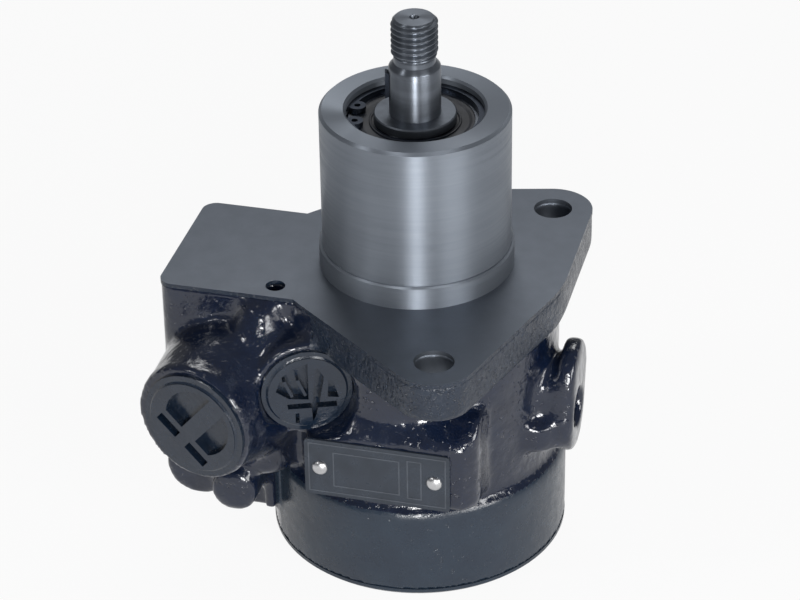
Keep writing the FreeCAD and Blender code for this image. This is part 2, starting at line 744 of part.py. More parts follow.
column = new_sketch(housing, "column", x=-S.column_x, y=-S.column_y, turn=0, tilt=90)
polygon(
    column,
    [
        (0, -S.column_foot),
        (S.column_radius - S.column_edge, -S.column_foot),
        (S.column_radius, -S.column_foot + S.column_edge),
        (S.column_radius, -S.column_shoulder),
        (S.column_tip, -S.column_top),
        (0, -S.column_top),
    ],
)
revolve(housing, column)

side_neck = new_sketch(housing, "side_port_neck", "YZ_Plane", z=S.side_face - S.side_thickness / 2)
side_neck_radius = S.side_radius - S.side_neck_step
belt(
    side_neck,
    [
        (-S.side_y, -S.side_z - S.side_drop, side_neck_radius),
        (-S.side_y + S.side_shift / 2, -S.side_z + S.side_neck_lift, side_neck_radius),
    ],
)
pad(housing, side_neck, S.side_neck_length, down=True)

side_plate = new_sketch(housing, "side_port_plate", "YZ_Plane", z=S.side_face)
belt(
    side_plate,
    [
        (-S.side_y, -S.side_z - S.side_drop, S.side_radius),
        (-S.side_y + S.side_shift, -S.side_z + S.side_lift, S.side_radius),
    ],
)
pad(housing, side_plate, S.side_thickness, down=True)

swell = new_sketch(housing, "side_swelling", z=-S.side_swell_z - S.side_swell_length)
circle(swell, S.side_swell_x, -S.side_swell_y, S.side_swell_radius)
pad(housing, swell, S.side_swell_length)

bores = new_sketch(housing, "housing_bores", "XZ_Plane")
polygon(
    bores,
    [
        (0, rear_rim - S.overcut),
        (S.cavity_radius, rear_rim - S.overcut),
        (S.cavity_radius, ring_foot),
        (S.cavity_radius + S.ring_bite, ring_foot),
        (S.cavity_radius + S.ring_bite, cover_foot),
        (S.cavity_radius, cover_foot),
        (S.cavity_radius, roof),
        (S.bush_radius, roof),
        (S.bush_radius, seal_foot),
        (S.seal_radius, seal_foot),
        (S.seal_radius, seal_top),
        (S.bore_relief, seal_top),
        (S.bore_relief, bearing_foot),
        (S.bearing_radius, bearing_foot),
        (S.bearing_radius, bearing_face),
        (S.clip_radius + S.clip_gap, bearing_face),
        (S.clip_radius + S.clip_gap, clip_top + S.clip_gap),
        (S.bearing_radius, clip_top + S.clip_gap),
        (S.bearing_radius, S.nose_height - S.bore_edge),
        (S.bearing_radius + S.bore_edge, S.nose_height),
        (S.bearing_radius + S.bore_edge, S.nose_height + S.overcut),
        (0, S.nose_height + S.overcut),
    ],
)
groove(housing, bores)

bolt_holes = new_sketch(housing, "bolt_holes")
circle(bolt_holes, S.front_bolt_x, -S.front_bolt_y, S.bolt_hole_radius)
circle(bolt_holes, S.rear_bolt_x, S.rear_bolt_y, S.bolt_hole_radius)
pocket(housing, bolt_holes, S.flange_thickness + S.overcut)

dowel_hole = new_sketch(housing, "locating_hole")
circle(dowel_hole, -S.dowel_hole_x, -S.dowel_hole_y, S.dowel_hole_radius)
pocket(housing, dowel_hole, S.dowel_hole_depth)

for name, place, bore_radius, bore_depth, seat_radius in (
    ("suction", suction_place, S.suction_bore_radius, S.suction_bore_depth, S.suction_cap_radius),
    ("pressure", pressure_place, S.pressure_bore_radius, S.pressure_bore_depth, S.pressure_cap_radius),
):
    bore = new_sketch(housing, f"{name}_bore", **place)
    circle(bore, 0, 0, bore_radius)
    pocket(housing, bore, bore_depth)
    port_seat = new_sketch(housing, f"{name}_seat", **place)
    circle(port_seat, 0, 0, seat_radius)
    pocket(housing, port_seat, S.seat_depth)
spot = new_sketch(housing, "pressure_spot_face", **pressure_place)
circle(spot, 0, 0, S.pressure_boss_radius - S.plug_margin + S.spot_play)
pocket(housing, spot, S.spot_length, up=True)

side_bore = new_sketch(housing, "side_bore", "YZ_Plane", z=S.side_face)
circle(side_bore, -S.side_y, -S.side_z, S.side_bore_radius)
pocket(housing, side_bore, S.side_bore_depth)
side_drill = new_sketch(housing, "side_drilling", "YZ_Plane", z=S.side_face)
circle(side_drill, -S.side_y, -S.side_z, S.side_drill_radius)
pocket(housing, side_drill, S.side_drill_depth)

spool_bore = new_sketch(housing, "spool_bore", y=-S.spool_front, tilt=90)
circle(spool_bore, -S.spool_x, -S.spool_z, S.spool_radius)
pocket(housing, spool_bore, S.spool_front + S.chest_back + S.overcut)
plug_seat = new_sketch(housing, "valve_plug_seat", y=S.chest_back - S.valve_plug_length, tilt=90)
circle(plug_seat, -S.spool_x, -S.spool_z, S.valve_plug_radius)
pocket(housing, plug_seat, S.valve_plug_length + S.overcut)

rivet_holes = new_sketch(housing, "rivet_holes", y=-S.pad_front, tilt=90)
for x in (-S.rivet_x, -S.rivet_x + S.rivet_pitch):
    circle(rivet_holes, x, -S.rivet_z, S.rivet_radius)
pocket(housing, rivet_holes, S.rivet_length)


# Transport plugs: a shank and a seat in the port, a thin flange on the boss and a raised face with pockets

plug_face = S.plug_flange + S.plug_rise


def plug_blank(label, place, boss_radius, bore_radius, cap_radius):
    shank = bore_radius - S.plug_play
    edge = boss_radius - S.plug_margin
    return turned(
        label,
        [
            (0, -S.plug_shank),
            (shank, -S.plug_shank),
            (shank, -S.seat_depth),
            (cap_radius - S.plug_play, -S.seat_depth),
            (cap_radius - S.plug_play, 0),
            (edge, 0),
            (edge, S.plug_flange),
            (cap_radius + S.plug_flange / 2, S.plug_flange),
            (cap_radius, S.plug_flange + S.plug_rise / 2),
            (cap_radius, plug_face),
            (0, plug_face),
        ],
        **place,
    )


suction_plug = plug_blank(
    "suction_plug", suction_place, S.suction_boss_radius, S.suction_bore_radius, S.suction_cap_radius
)
grip_floor = plug_face - S.plug_pocket
grips = new_sketch(
    suction_plug,
    "grip_pockets",
    x=cosine(S.grip_turn) * S.grip_shift,
    y=sine(S.grip_turn) * S.grip_shift,
    z=plug_face,
)
circle(grips, 0, 0, S.grip_radius)
pocket(suction_plug, grips, S.plug_pocket)
grip_end = S.grip_shift + S.grip_radius
grip_bar = new_sketch(suction_plug, "grip_bar", z=grip_floor, turn=S.grip_turn)
rectangle(grip_bar, -grip_end, grip_end, S.grip_side - S.grip_bar, S.grip_side + S.grip_bar)
pad(suction_plug, grip_bar, S.plug_pocket)
grip_step = new_sketch(suction_plug, "grip_foot", z=grip_floor, turn=S.grip_turn)
rectangle(grip_step, -S.plug_slot_outer, -S.grip_foot, -S.grip_radius, S.grip_radius)
pad(suction_plug, grip_step, S.plug_pocket)
slots = new_sketch(suction_plug, "edge_slots", z=plug_face, turn=S.grip_turn)
slot_end = S.plug_slot_start + S.plug_slot_length
for low, high in ((S.plug_slot_start, slot_end), (-slot_end, -S.plug_slot_start)):
    rectangle(slots, -S.plug_slot_outer, -S.plug_slot_inner, S.grip_side + low, S.grip_side + high)
pocket(suction_plug, slots, S.plug_pocket)

pressure_plug = plug_blank(
    "pressure_plug", pressure_place, S.pressure_boss_radius, S.pressure_bore_radius, S.pressure_cap_radius
)

# Corners of the pockets of the pressure plug, as shares of the radius of its cap
pressure_pockets = {
    "wedge_pocket": [(-0.80, 0.10), (-0.66, 0.50), (-0.34, 0.77), (0.03, 0.85), (0.03, -0.22), (-0.47, -0.15)],
    "side_pocket": [(0.52, -0.19), (0.81, -0.24), (0.66, 0.28), (0.54, 0.30)],
    "level_slot": [(-0.52, -0.31), (0.74, -0.34), (0.76, -0.51), (-0.50, -0.46)],
    "upright_slot": [(0.10, -0.44), (0.13, -0.90), (0.22, -0.70), (0.27, -0.44)],
    "upper_slot": [(0.12, -0.36), (0.30, -0.36), (0.44, 0.40), (0.30, 0.68), (0.22, 0.66)],
    "small_slot": [(-0.32, -0.90), (-0.22, -0.90), (-0.22, -0.61), (-0.32, -0.61)],
}
for name, corners in pressure_pockets.items():
    grip = new_sketch(pressure_plug, name, z=plug_face)
    polygon(grip, [(S.pressure_cap_radius * x, S.pressure_cap_radius * y) for x, y in corners])
    pocket(pressure_plug, grip, S.plug_pocket)
for number in range(2):
    fin = new_sketch(
        pressure_plug, f"fin_{number + 1}", x=S.fin_x - S.fin_pitch * number, y=S.fin_y, z=grip_floor, turn=S.fin_turn
    )
    half_length, half_width = S.fin_length / 2, S.fin_thickness / 2
    rectangle(fin, -half_length, half_length, -half_width, half_width)
    pad(pressure_plug, fin, S.plug_pocket)


# Name plate and its drive rivets

plate = new_body("name_plate", y=-S.pad_front, tilt=90)
plate_outline = new_sketch(plate, "name_plate_outline")
plate_middle = -S.rivet_x + S.rivet_pitch / 2
rounded(
    plate_outline,
    plate_middle - S.plate_length / 2,
    plate_middle + S.plate_length / 2,
    -S.rivet_z - S.plate_height / 2,
    -S.rivet_z + S.plate_height / 2,
    S.plate_corner,
)
pad(plate, plate_outline, S.plate_thickness)
plate_holes = new_sketch(plate, "name_plate_holes", z=S.plate_thickness)
for x in (-S.rivet_x, -S.rivet_x + S.rivet_pitch):
    circle(plate_holes, x, -S.rivet_z, S.rivet_radius)
pocket(plate, plate_holes, S.plate_thickness + S.overcut)


def rivet_shape():
    """Two drive rivets with round heads, in the frame of the name plate."""
    head, height = S.rivet_head_radius.value, S.rivet_head_height.value
    sphere = (head * head + height * height) / (2 * height)
    shank = S.rivet_length.value
    foot = S.plate_thickness.value
    solids = []
    for x in (-S.rivet_x.value, -S.rivet_x.value + S.rivet_pitch.value):
        dome = Part.makeSphere(sphere, Vector(x, -S.rivet_z.value, foot + height - sphere))
        cap = dome.common(Part.makeCylinder(head, height, Vector(x, -S.rivet_z.value, foot)))
        stem = Part.makeCylinder(S.rivet_radius.value, shank + foot, Vector(x, -S.rivet_z.value, -shank))
        solids.append(cap.fuse(stem).removeSplitter().Solids[0])
    return Part.makeCompound(solids)


shaped("plate_rivets", rivet_shape(), y=-S.pad_front, tilt=90)


# Drive shaft with its key, bearing and seals

shaft = turned(
    "drive_shaft",
    [
        (0, cam_foot - S.side_plate_thickness / 2),
        (S.tail_radius, cam_foot - S.side_plate_thickness / 2),
        (S.tail_radius, cam_foot),
        (S.journal_radius, cam_foot + S.rotor_play),
        (S.journal_radius, S.land_foot),
        (S.land_radius, S.land_foot + S.spline_rise),
        (S.land_radius, collar_foot),
        (S.shaft_collar_radius, collar_foot),
        (S.shaft_collar_radius, bearing_foot),
        (S.seat_radius, bearing_foot),
        (S.seat_radius, bearing_face),
        (S.shaft_radius, bearing_face),
        (S.shaft_radius, shoulder_top),
        (S.relief_radius, relief_foot),
        (S.relief_radius, thread_foot - S.relief_slope),
        (S.thread_radius, thread_foot),
        (S.thread_radius, shaft_top - S.shaft_edge),
        (S.thread_radius - S.shaft_edge, shaft_top),
        (S.centre_radius, shaft_top),
        (0, shaft_top - S.centre_depth),
    ],
)
tooth = new_sketch(shaft, "spline_tooth", z=cam_foot + S.rotor_play)
rectangle(tooth, 0, S.journal_radius + S.spline_rise, -S.spline_width / 2, S.spline_width / 2)
first_tooth = pad(shaft, tooth, S.cam_height - 2 * S.rotor_play)
polar(shaft, first_tooth, S.spline_count)
key_axis = S.shaft_radius - S.key_seat + S.key_diameter / 2
key_plane = {
    "x": -cosine(S.key_turn) * S.key_width / 2,
    "y": -sine(S.key_turn) * S.key_width / 2,
    "turn": S.key_turn - 90,
    "tilt": 90,
}
seat = new_sketch(shaft, "key_seat", **key_plane)
circle(seat, key_axis, key_z, S.key_diameter / 2)
pocket(shaft, seat, S.key_width)

key = new_body("disc_key")
key_outline = new_sketch(key, "disc_key_outline", **key_plane)
circle(key_outline, key_axis, key_z, S.key_diameter / 2)
pad(key, key_outline, S.key_width, down=True)
key_flat = new_sketch(key, "disc_key_flat", **key_plane)
flat = S.shaft_radius - S.key_seat + S.key_height
rectangle(key_flat, flat, flat + S.key_diameter, key_z - S.key_diameter, key_z + S.key_diameter)
pocket(key, key_flat, S.key_width)


def race(label, inside, outside, faces_out):
    """A bearing ring with its chamfers and its ball groove."""
    low, high = -S.bearing_width / 2, S.bearing_width / 2
    middle = bearing_foot + S.bearing_width / 2
    edge = S.race_edge
    inner_edge, outer_edge = (edge, 0) if faces_out else (0, edge)
    points = [(inside + inner_edge, low), (outside - outer_edge, low)]
    if not faces_out:
        points.append((outside, low + edge))
        points.append((outside, high - edge))
    points.append((outside - outer_edge, high))
    points.append((inside + inner_edge, high))
    if faces_out:
        points.append((inside, high - edge))
        points.append((inside, low + edge))
    body = turned(label, points, z=middle)
    track = new_sketch(body, f"{label}_track", "XZ_Plane")
    circle(track, S.ball_pitch, 0, S.ball_radius + S.race_play)
    groove(body, track)
    return body


race("bearing_inner_ring", S.seat_radius, inner_race_radius, True)
race("bearing_outer_ring", outer_race_radius, S.bearing_radius, False)


def ball_ring(count, radius, pitch):
    turns = [2 * math.pi * number / count for number in range(count)]
    return [Part.makeSphere(radius, Vector(pitch * math.cos(turn), pitch * math.sin(turn), 0)) for turn in turns]


ball_count = int(S.ball_count.value)
shaped(
    "bearing_balls",
    Part.makeCompound(ball_ring(ball_count, S.ball_radius.value, S.ball_pitch.value)),
    z=bearing_foot + S.bearing_width / 2,
)

cage = turned(
    "bearing_cage",
    [
        (S.ball_pitch - S.cage_band / 2, -S.cage_height / 2),
        (S.ball_pitch + S.cage_band / 2, -S.cage_height / 2),
        (S.ball_pitch + S.cage_band / 2, S.cage_height / 2),
        (S.ball_pitch - S.cage_band / 2, S.cage_height / 2),
    ],
    z=bearing_foot + S.bearing_width / 2,
)
cage_hole = new_sketch(cage, "cage_hole", "YZ_Plane", z=S.ball_pitch + S.cage_band)
circle(cage_hole, 0, 0, S.ball_radius + S.cage_play)
first_hole = pocket(cage, cage_hole, 2 * S.cage_band)
polar(cage, first_hole, S.ball_count)

for label, level in (
    ("bearing_seal_outer", bearing_face - S.shield_inset - S.shield_thickness),
    ("bearing_seal_inner", bearing_foot + S.shield_inset),
):
    turned(
        label,
        [
            (inner_race_radius + S.shield_gap, 0),
            (outer_race_radius, 0),
            (outer_race_radius, S.shield_thickness),
            (outer_race_radius - S.shield_thickness, S.shield_thickness),
            (outer_race_radius - 2 * S.shield_thickness, S.shield_lip),
            (inner_race_radius + S.shield_gap, S.shield_lip),
        ],
        z=level,
    )

turned(
    "spacer_ring",
    [
        (S.shaft_radius, 0),
        (S.spacer_radius, 0),
        (S.spacer_radius, S.spacer_height - S.race_edge / 2),
        (S.spacer_radius - S.race_edge / 2, S.spacer_height),
        (S.shaft_radius, S.spacer_height),
    ],
    z=bearing_face,
)

clip = new_body("bearing_circlip", z=bearing_face)
clip_ring = new_sketch(clip, "circlip_ring")
circle(clip_ring, 0, 0, S.clip_radius)
circle(clip_ring, 0, 0, S.clip_radius - S.clip_band)
pad(clip, clip_ring, S.clip_thickness)
clip_gap = new_sketch(clip, "circlip_opening", z=S.clip_thickness, turn=S.clip_turn - 90)
ear_pitch = S.clip_radius - S.clip_band - S.clip_ear / 4
opening = sine(S.clip_ear_turn) * ear_pitch - S.clip_ear / 2
rectangle(clip_gap, 0, S.clip_radius * 2, -opening, opening)
pocket(clip, clip_gap, S.clip_thickness)
for number, side in enumerate((1, -1)):
    ear_turn = S.clip_turn - 90 + side * S.clip_ear_turn
    ear = new_sketch(clip, f"circlip_ear_{number + 1}", turn=ear_turn)
    circle(ear, ear_pitch, 0, S.clip_ear)
    pad(clip, ear, S.clip_thickness)
    eye = new_sketch(clip, f"circlip_eye_{number + 1}", z=S.clip_thickness, turn=ear_turn)
    circle(eye, ear_pitch, 0, S.clip_eye)
    pocket(clip, eye, S.clip_thickness)

turned(
    "shaft_seal",
    [
        (S.seal_radius, 0),
        (S.seal_radius, S.seal_height),
        (S.seal_radius - S.seal_wall, S.seal_height),
        (S.seal_radius - S.seal_wall, S.seal_wall),
        (S.land_radius + S.seal_wall, S.seal_wall),
        (S.land_radius + S.seal_wall, S.seal_height - S.seal_wall),
        (S.land_radius + S.run_gap, S.seal_height - S.seal_wall * 2),
        (S.land_radius + S.seal_wall / 2, S.seal_wall),
        (S.land_radius + S.seal_wall / 2, 0),
    ],
    z=seal_foot,
)

turned(
    "shaft_bush",
    [
        (S.journal_radius + S.run_gap, -S.bush_length),
        (S.bush_radius, -S.bush_length),
        (S.bush_radius, 0),
        (S.journal_radius + S.run_gap, 0),
    ],
    z=-S.bush_top,
)


# Pump pack: side plates, cam ring, rotor and vanes


def side_plate_body(label, foot, shaft_hole):
    """A side plate with its shaft hole, oil openings and pin holes."""
    body = new_body(label, z=foot)
    blank = new_sketch(body, f"{label}_outline")
    circle(blank, 0, 0, S.cavity_radius - S.fit_gap)
    circle(blank, 0, 0, shaft_hole)
    pad(body, blank, S.side_plate_thickness)
    oil = new_sketch(body, f"{label}_oil_opening", z=S.side_plate_thickness)
    circle(oil, S.port_offset, S.port_offset, S.port_radius)
    opening_cut = pocket(body, oil, S.side_plate_thickness)
    polar(body, opening_cut, 4)
    pin_hole = new_sketch(body, f"{label}_pin_holes", z=S.side_plate_thickness)
    for side in (1, -1):
        circle(pin_hole, 0, side * pin_pitch, S.pin_radius + S.fit_gap)
    pocket(body, pin_hole, S.side_plate_thickness)
    return body


side_plate_body("front_side_plate", cam_top, S.journal_radius + S.run_gap * 2)
side_plate_body("rear_side_plate", plate_foot, S.tail_radius + S.run_gap)

cam = new_body("cam_ring", z=cam_foot)
cam_blank = new_sketch(cam, "cam_ring_outline")
circle(cam_blank, 0, 0, S.cavity_radius - S.fit_gap)
belt(cam_blank, [(-S.cam_rise, 0, S.cam_minor), (S.cam_rise, 0, S.cam_minor)])
pad(cam, cam_blank, S.cam_height)
cam_pins = new_sketch(cam, "cam_ring_pin_holes", z=S.cam_height)
for side in (1, -1):
    circle(cam_pins, 0, side * pin_pitch, S.pin_radius + S.fit_gap)
pocket(cam, cam_pins, S.cam_height)

pin_length = value_of(S.cam_height + 2 * S.side_plate_thickness)
pin_shapes = [
    Part.makeCylinder(S.pin_radius.value, pin_length, Vector(0, side * pin_pitch.value, 0)) for side in (1, -1)
]
shaped("dowel_pins", Part.makeCompound(pin_shapes), z=plate_foot)

rotor = new_body("rotor", z=cam_foot + S.rotor_play)
rotor_height = S.cam_height - 2 * S.rotor_play
vane_rest = S.cam_minor - S.vane_tip_play
slot_end = vane_rest - S.vane_length - S.slot_foot
rotor_blank = new_sketch(rotor, "rotor_outline")
circle(rotor_blank, 0, 0, S.rotor_radius)
circle(rotor_blank, 0, 0, S.journal_radius)
pad(rotor, rotor_blank, rotor_height)
spline = new_sketch(rotor, "rotor_spline", z=rotor_height)
spline_half = S.spline_width / 2 + S.spline_play
rectangle(spline, 0, S.journal_radius + S.spline_rise + S.spline_play, -spline_half, spline_half)
first_spline = pocket(rotor, spline, rotor_height)
polar(rotor, first_spline, S.spline_count)
vane_slot = new_sketch(rotor, "vane_slot", z=rotor_height)
slot_half = S.vane_thickness / 2 + S.vane_play
rectangle(vane_slot, slot_end, S.rotor_radius + S.overcut, -slot_half, slot_half)
first_slot = pocket(rotor, vane_slot, rotor_height)
polar(rotor, first_slot, S.vane_count)
slot_foot = new_sketch(rotor, "vane_slot_eye", z=rotor_height)
circle(slot_foot, slot_end, 0, S.slot_eye)
first_foot = pocket(rotor, slot_foot, rotor_height)
polar(rotor, first_foot, S.vane_count)

vane_count = int(S.vane_count.value)
for number in range(vane_count):
    turn = 360 / S.vane_count * number
    vane = new_body(f"vane_{number + 1:02d}", z=cam_foot + S.rotor_play, turn=turn)
    vane_outline = new_sketch(vane, f"vane_{number + 1:02d}_outline")
    half = S.vane_thickness / 2
    polygon(
        vane_outline,
        [
            (vane_rest - S.vane_length, -half),
            (vane_rest - half, -half),
            (vane_rest, -half / 3),
            (vane_rest, half / 3),
            (vane_rest - half, half),
            (vane_rest - S.vane_length, half),
        ],
    )
    pad(vane, vane_outline, rotor_height)


# Rear cover, held by its snap ring against the plate spring

cover_radius = S.cavity_radius - S.fit_gap
groove_top = S.cover_thickness / 2 + S.seal_cord / 2 + S.seal_squeeze
groove_foot = S.cover_thickness / 2 - S.seal_cord / 2 - S.seal_squeeze
turned(
    "rear_cover",
    [
        (0, 0),
        (cover_radius - S.drum_edge / 2, 0),
        (cover_radius, S.drum_edge / 2),
        (cover_radius, groove_foot),
        (cover_radius - S.seal_cord, groove_foot),
        (cover_radius - S.seal_cord, groove_top),
        (cover_radius, groove_top),
        (cover_radius, S.cover_thickness),
        (S.cover_recess_radius, S.cover_thickness),
        (S.cover_recess_radius, S.cover_thickness - S.cover_recess),
        (0, S.cover_thickness - S.cover_recess),
    ],
    z=cover_foot,
)

cover_seal = new_body("cover_seal", z=cover_foot + S.cover_thickness / 2)
cord = new_sketch(cover_seal, "cover_seal_cord", "XZ_Plane")
cord_radius = S.seal_cord / 2 - S.fit_gap / 2
circle(cord, cover_radius - S.seal_cord + cord_radius, 0, cord_radius)
revolve(cover_seal, cord)

snap = new_body("cover_snap_ring", z=ring_foot)
snap_ring = new_sketch(snap, "snap_ring_outline")
snap_radius = S.cavity_radius + S.ring_bite - S.fit_gap
circle(snap_ring, 0, 0, snap_radius)
circle(snap_ring, 0, 0, snap_radius - S.ring_band)
pad(snap, snap_ring, S.ring_width)
snap_opening = new_sketch(snap, "snap_ring_opening", z=S.ring_width)
rectangle(snap_opening, 0, snap_radius * 2, -S.ring_opening / 2, S.ring_opening / 2)
pocket(snap, snap_opening, S.ring_width)

spring_height = S.cover_recess + plate_foot - cover_top - 2 * S.fit_gap
shaped(
    "plate_spring",
    coil(S.spring_coil.value, S.spring_wire.value / 2, spring_height.value, S.spring_turns.value),
    z=cover_top - S.cover_recess + S.fit_gap,
)


# Flow control valve: the spool slides along Y in the valve chest, against its spring and plug

spool_place = {"x": -S.spool_x, "z": -S.spool_z, "tilt": 90}
spool_outer = S.spool_radius - S.run_gap
spool = turned(
    "flow_spool",
    [
        (S.relief_bore_radius, 0),
        (spool_outer - S.run_gap, 0),
        (spool_outer, -S.run_gap),
        (spool_outer, -S.spool_groove_start),
        (spool_outer - S.spool_groove, -S.spool_groove_start),
        (spool_outer - S.spool_groove, -S.spool_groove_end),
        (spool_outer, -S.spool_groove_end),
        (spool_outer, -S.spool_length),
        (S.spool_pocket_radius, -S.spool_length),
        (S.spool_pocket_radius, -S.spool_length + S.spool_pocket_depth),
        (0, -S.spool_length + S.spool_pocket_depth),
        (0, -S.relief_bore_depth),
        (S.relief_bore_radius, -S.relief_bore_depth),
    ],
    y=-S.spool_front,
    **spool_place,
)

turned(
    "relief_seat",
    [
        (S.relief_seat_hole, 0),
        (S.relief_bore_radius, 0),
        (S.relief_bore_radius, -S.relief_seat_length),
        (S.relief_seat_hole, -S.relief_seat_length),
    ],
    y=-S.spool_front,
    **spool_place,
)
ball_middle = S.relief_seat_length + root(
    S.relief_ball_radius * S.relief_ball_radius - S.relief_seat_hole * S.relief_seat_hole
)
shaped(
    "relief_ball",
    Part.makeSphere(S.relief_ball_radius.value),
    y=-S.spool_front + ball_middle + S.run_gap,
    **spool_place,
)
wire_reach = S.relief_ball_radius + S.relief_wire / 2
spring_rise = root(wire_reach * wire_reach - S.relief_coil * S.relief_coil) - S.relief_wire / 2
relief_room = S.relief_bore_depth - ball_middle - spring_rise - 2 * S.run_gap
shaped(
    "relief_spring",
    coil(S.relief_coil.value, S.relief_wire.value / 2, relief_room.value, S.relief_turns.value),
    y=-S.spool_front + S.relief_bore_depth,
    **spool_place,
)
plug_inner = S.chest_back - S.valve_plug_length
spring_seat = -S.spool_front + S.spool_length - S.spool_pocket_depth
shaped(
    "valve_spring",
    coil(
        S.valve_spring_coil.value,
        S.valve_spring_wire.value / 2,
        value_of(plug_inner - spring_seat),
        S.valve_spring_turns.value,
    ),
    y=plug_inner,
    **spool_place,
)

turned(
    "valve_washer",
    [
        (S.valve_plug_radius, 0),
        (S.valve_washer_radius, 0),
        (S.valve_washer_radius, -S.valve_washer),
        (S.valve_plug_radius, -S.valve_washer),
    ],
    y=S.chest_back,
    **spool_place,
)
valve_plug = turned(
    "valve_plug",
    [
        (0, S.valve_plug_length),
        (S.valve_plug_radius, S.valve_plug_length),
        (S.valve_plug_radius, -S.valve_washer),
        (0, -S.valve_washer),
    ],
    y=S.chest_back,
    **spool_place,
)
hexagon = new_sketch(valve_plug, "valve_plug_hexagon", z=-S.valve_washer)
corner = S.valve_plug_flats / 2 / cosine(S.hexagon_half_side)
polygon(
    hexagon,
    [
        (corner, 0),
        (corner / 2, S.valve_plug_flats / 2),
        (-corner / 2, S.valve_plug_flats / 2),
        (-corner, 0),
        (-corner / 2, -S.valve_plug_flats / 2),
        (corner / 2, -S.valve_plug_flats / 2),
    ],
)
pad(valve_plug, hexagon, S.valve_plug_head, down=True)


# Checks and export

doc.recompute()
faults = [item.Label for item in doc.Objects if {"Invalid", "Error"} & set(item.State)]
for piece in pieces:
    if piece.Shape.isNull() or not piece.Shape.isValid() or not piece.Shape.Solids:
        faults.append(piece.Label)
if faults:
    raise RuntimeError("failed: " + ", ".join(faults))

os.makedirs("parts", exist_ok=True)
for piece in pieces:
    piece.Shape.exportStep(f"parts/{piece.Label}.step")
print(len(pieces), "pieces written")
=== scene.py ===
import logging
import math
from collections.abc import Sequence
from dataclasses import dataclass
from enum import Enum

import bmesh
import bpy
import numpy as np
from mathutils import Matrix, Vector


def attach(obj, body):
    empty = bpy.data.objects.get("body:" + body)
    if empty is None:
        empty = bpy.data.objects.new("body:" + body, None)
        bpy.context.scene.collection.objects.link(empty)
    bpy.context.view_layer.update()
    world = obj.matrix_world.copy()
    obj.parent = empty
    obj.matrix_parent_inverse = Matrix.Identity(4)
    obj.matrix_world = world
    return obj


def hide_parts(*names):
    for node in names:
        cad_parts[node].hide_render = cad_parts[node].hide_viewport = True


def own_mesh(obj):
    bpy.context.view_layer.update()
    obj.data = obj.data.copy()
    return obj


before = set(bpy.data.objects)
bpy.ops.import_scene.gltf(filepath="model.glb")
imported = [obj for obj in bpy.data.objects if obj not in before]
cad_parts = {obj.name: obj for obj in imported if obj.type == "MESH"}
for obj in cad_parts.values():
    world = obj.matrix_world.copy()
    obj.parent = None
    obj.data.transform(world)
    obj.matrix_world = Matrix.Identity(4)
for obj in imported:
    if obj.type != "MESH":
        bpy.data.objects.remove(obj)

# Lengths are in metres, apart from those whose docstring says millimetres.
MM = 0.001

# Places of the sockets of a Mix node that mixes two colours.
MIX_SHARE, MIX_FIRST, MIX_SECOND, MIX_RESULT = 0, 6, 7, 2

Colour = tuple[float, float, float]
Place = tuple[float, float, float]
Form = bmesh.types.BMesh
Material = bpy.types.Material
Mesh = bpy.types.Mesh
Socket = bpy.types.NodeSocket
Tree = bpy.types.NodeTree
Value = float | Socket

log = logging.getLogger("power_steering_pump")


class Slot(Enum):
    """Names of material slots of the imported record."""

    PAINT = "housing_paint"
    STEEL = "machined_steel"
    PLATE = "plate_metal"
    RIVET = "rivet_aluminium"
    SPRING = "spring_steel"
    RUBBER = "seal_rubber"


class Body(Enum):
    """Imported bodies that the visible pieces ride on."""

    PUMP = "pump_body"
    SHAFT = "shaft_set"
    SPOOL = "spool_set"


def feed(tree: Tree, socket: Socket, value: object) -> None:
    """Links or sets one input of a node.

    Args:
        tree: tree that holds the node.
        socket: input to fill.
        value: an output to link, or a plain value.
    """
    if isinstance(value, Socket):
        tree.links.new(value, socket)
    else:
        socket.default_value = value


def add_node(tree: Tree, kind: str, **values: object) -> bpy.types.Node:
    """Adds a node to a shader or geometry tree.

    Args:
        tree: tree that gets the node.
        kind: Blender's name of the node type.
        values: attributes first, then inputs by name with spaces written as two underscores. A
            list fills one input several times.

    Returns:
        The new node.
    """
    made = tree.nodes.new(kind)
    for name, value in values.items():
        if hasattr(made, name):
            setattr(made, name, value)
            continue
        label = name.replace("__", " ")
        socket = next(one for one in made.inputs if one.name == label and one.enabled)
        for item in value if isinstance(value, list) else [value]:
            feed(tree, socket, item)
    return made


def reckon(tree: Tree, operation: str, first: Value, second: Value) -> Socket:
    """Reckons with two numbers in a shader or geometry tree.

    Args:
        tree: tree that gets the node.
        operation: Blender's name of the operation.
        first: a number, or a socket.
        second: a number, or a socket.

    Returns:
        The result.
    """
    made = add_node(tree, "ShaderNodeMath", operation=operation)
    for socket, value in zip(made.inputs, (first, second)):
        feed(tree, socket, value)
    return made.outputs[0]


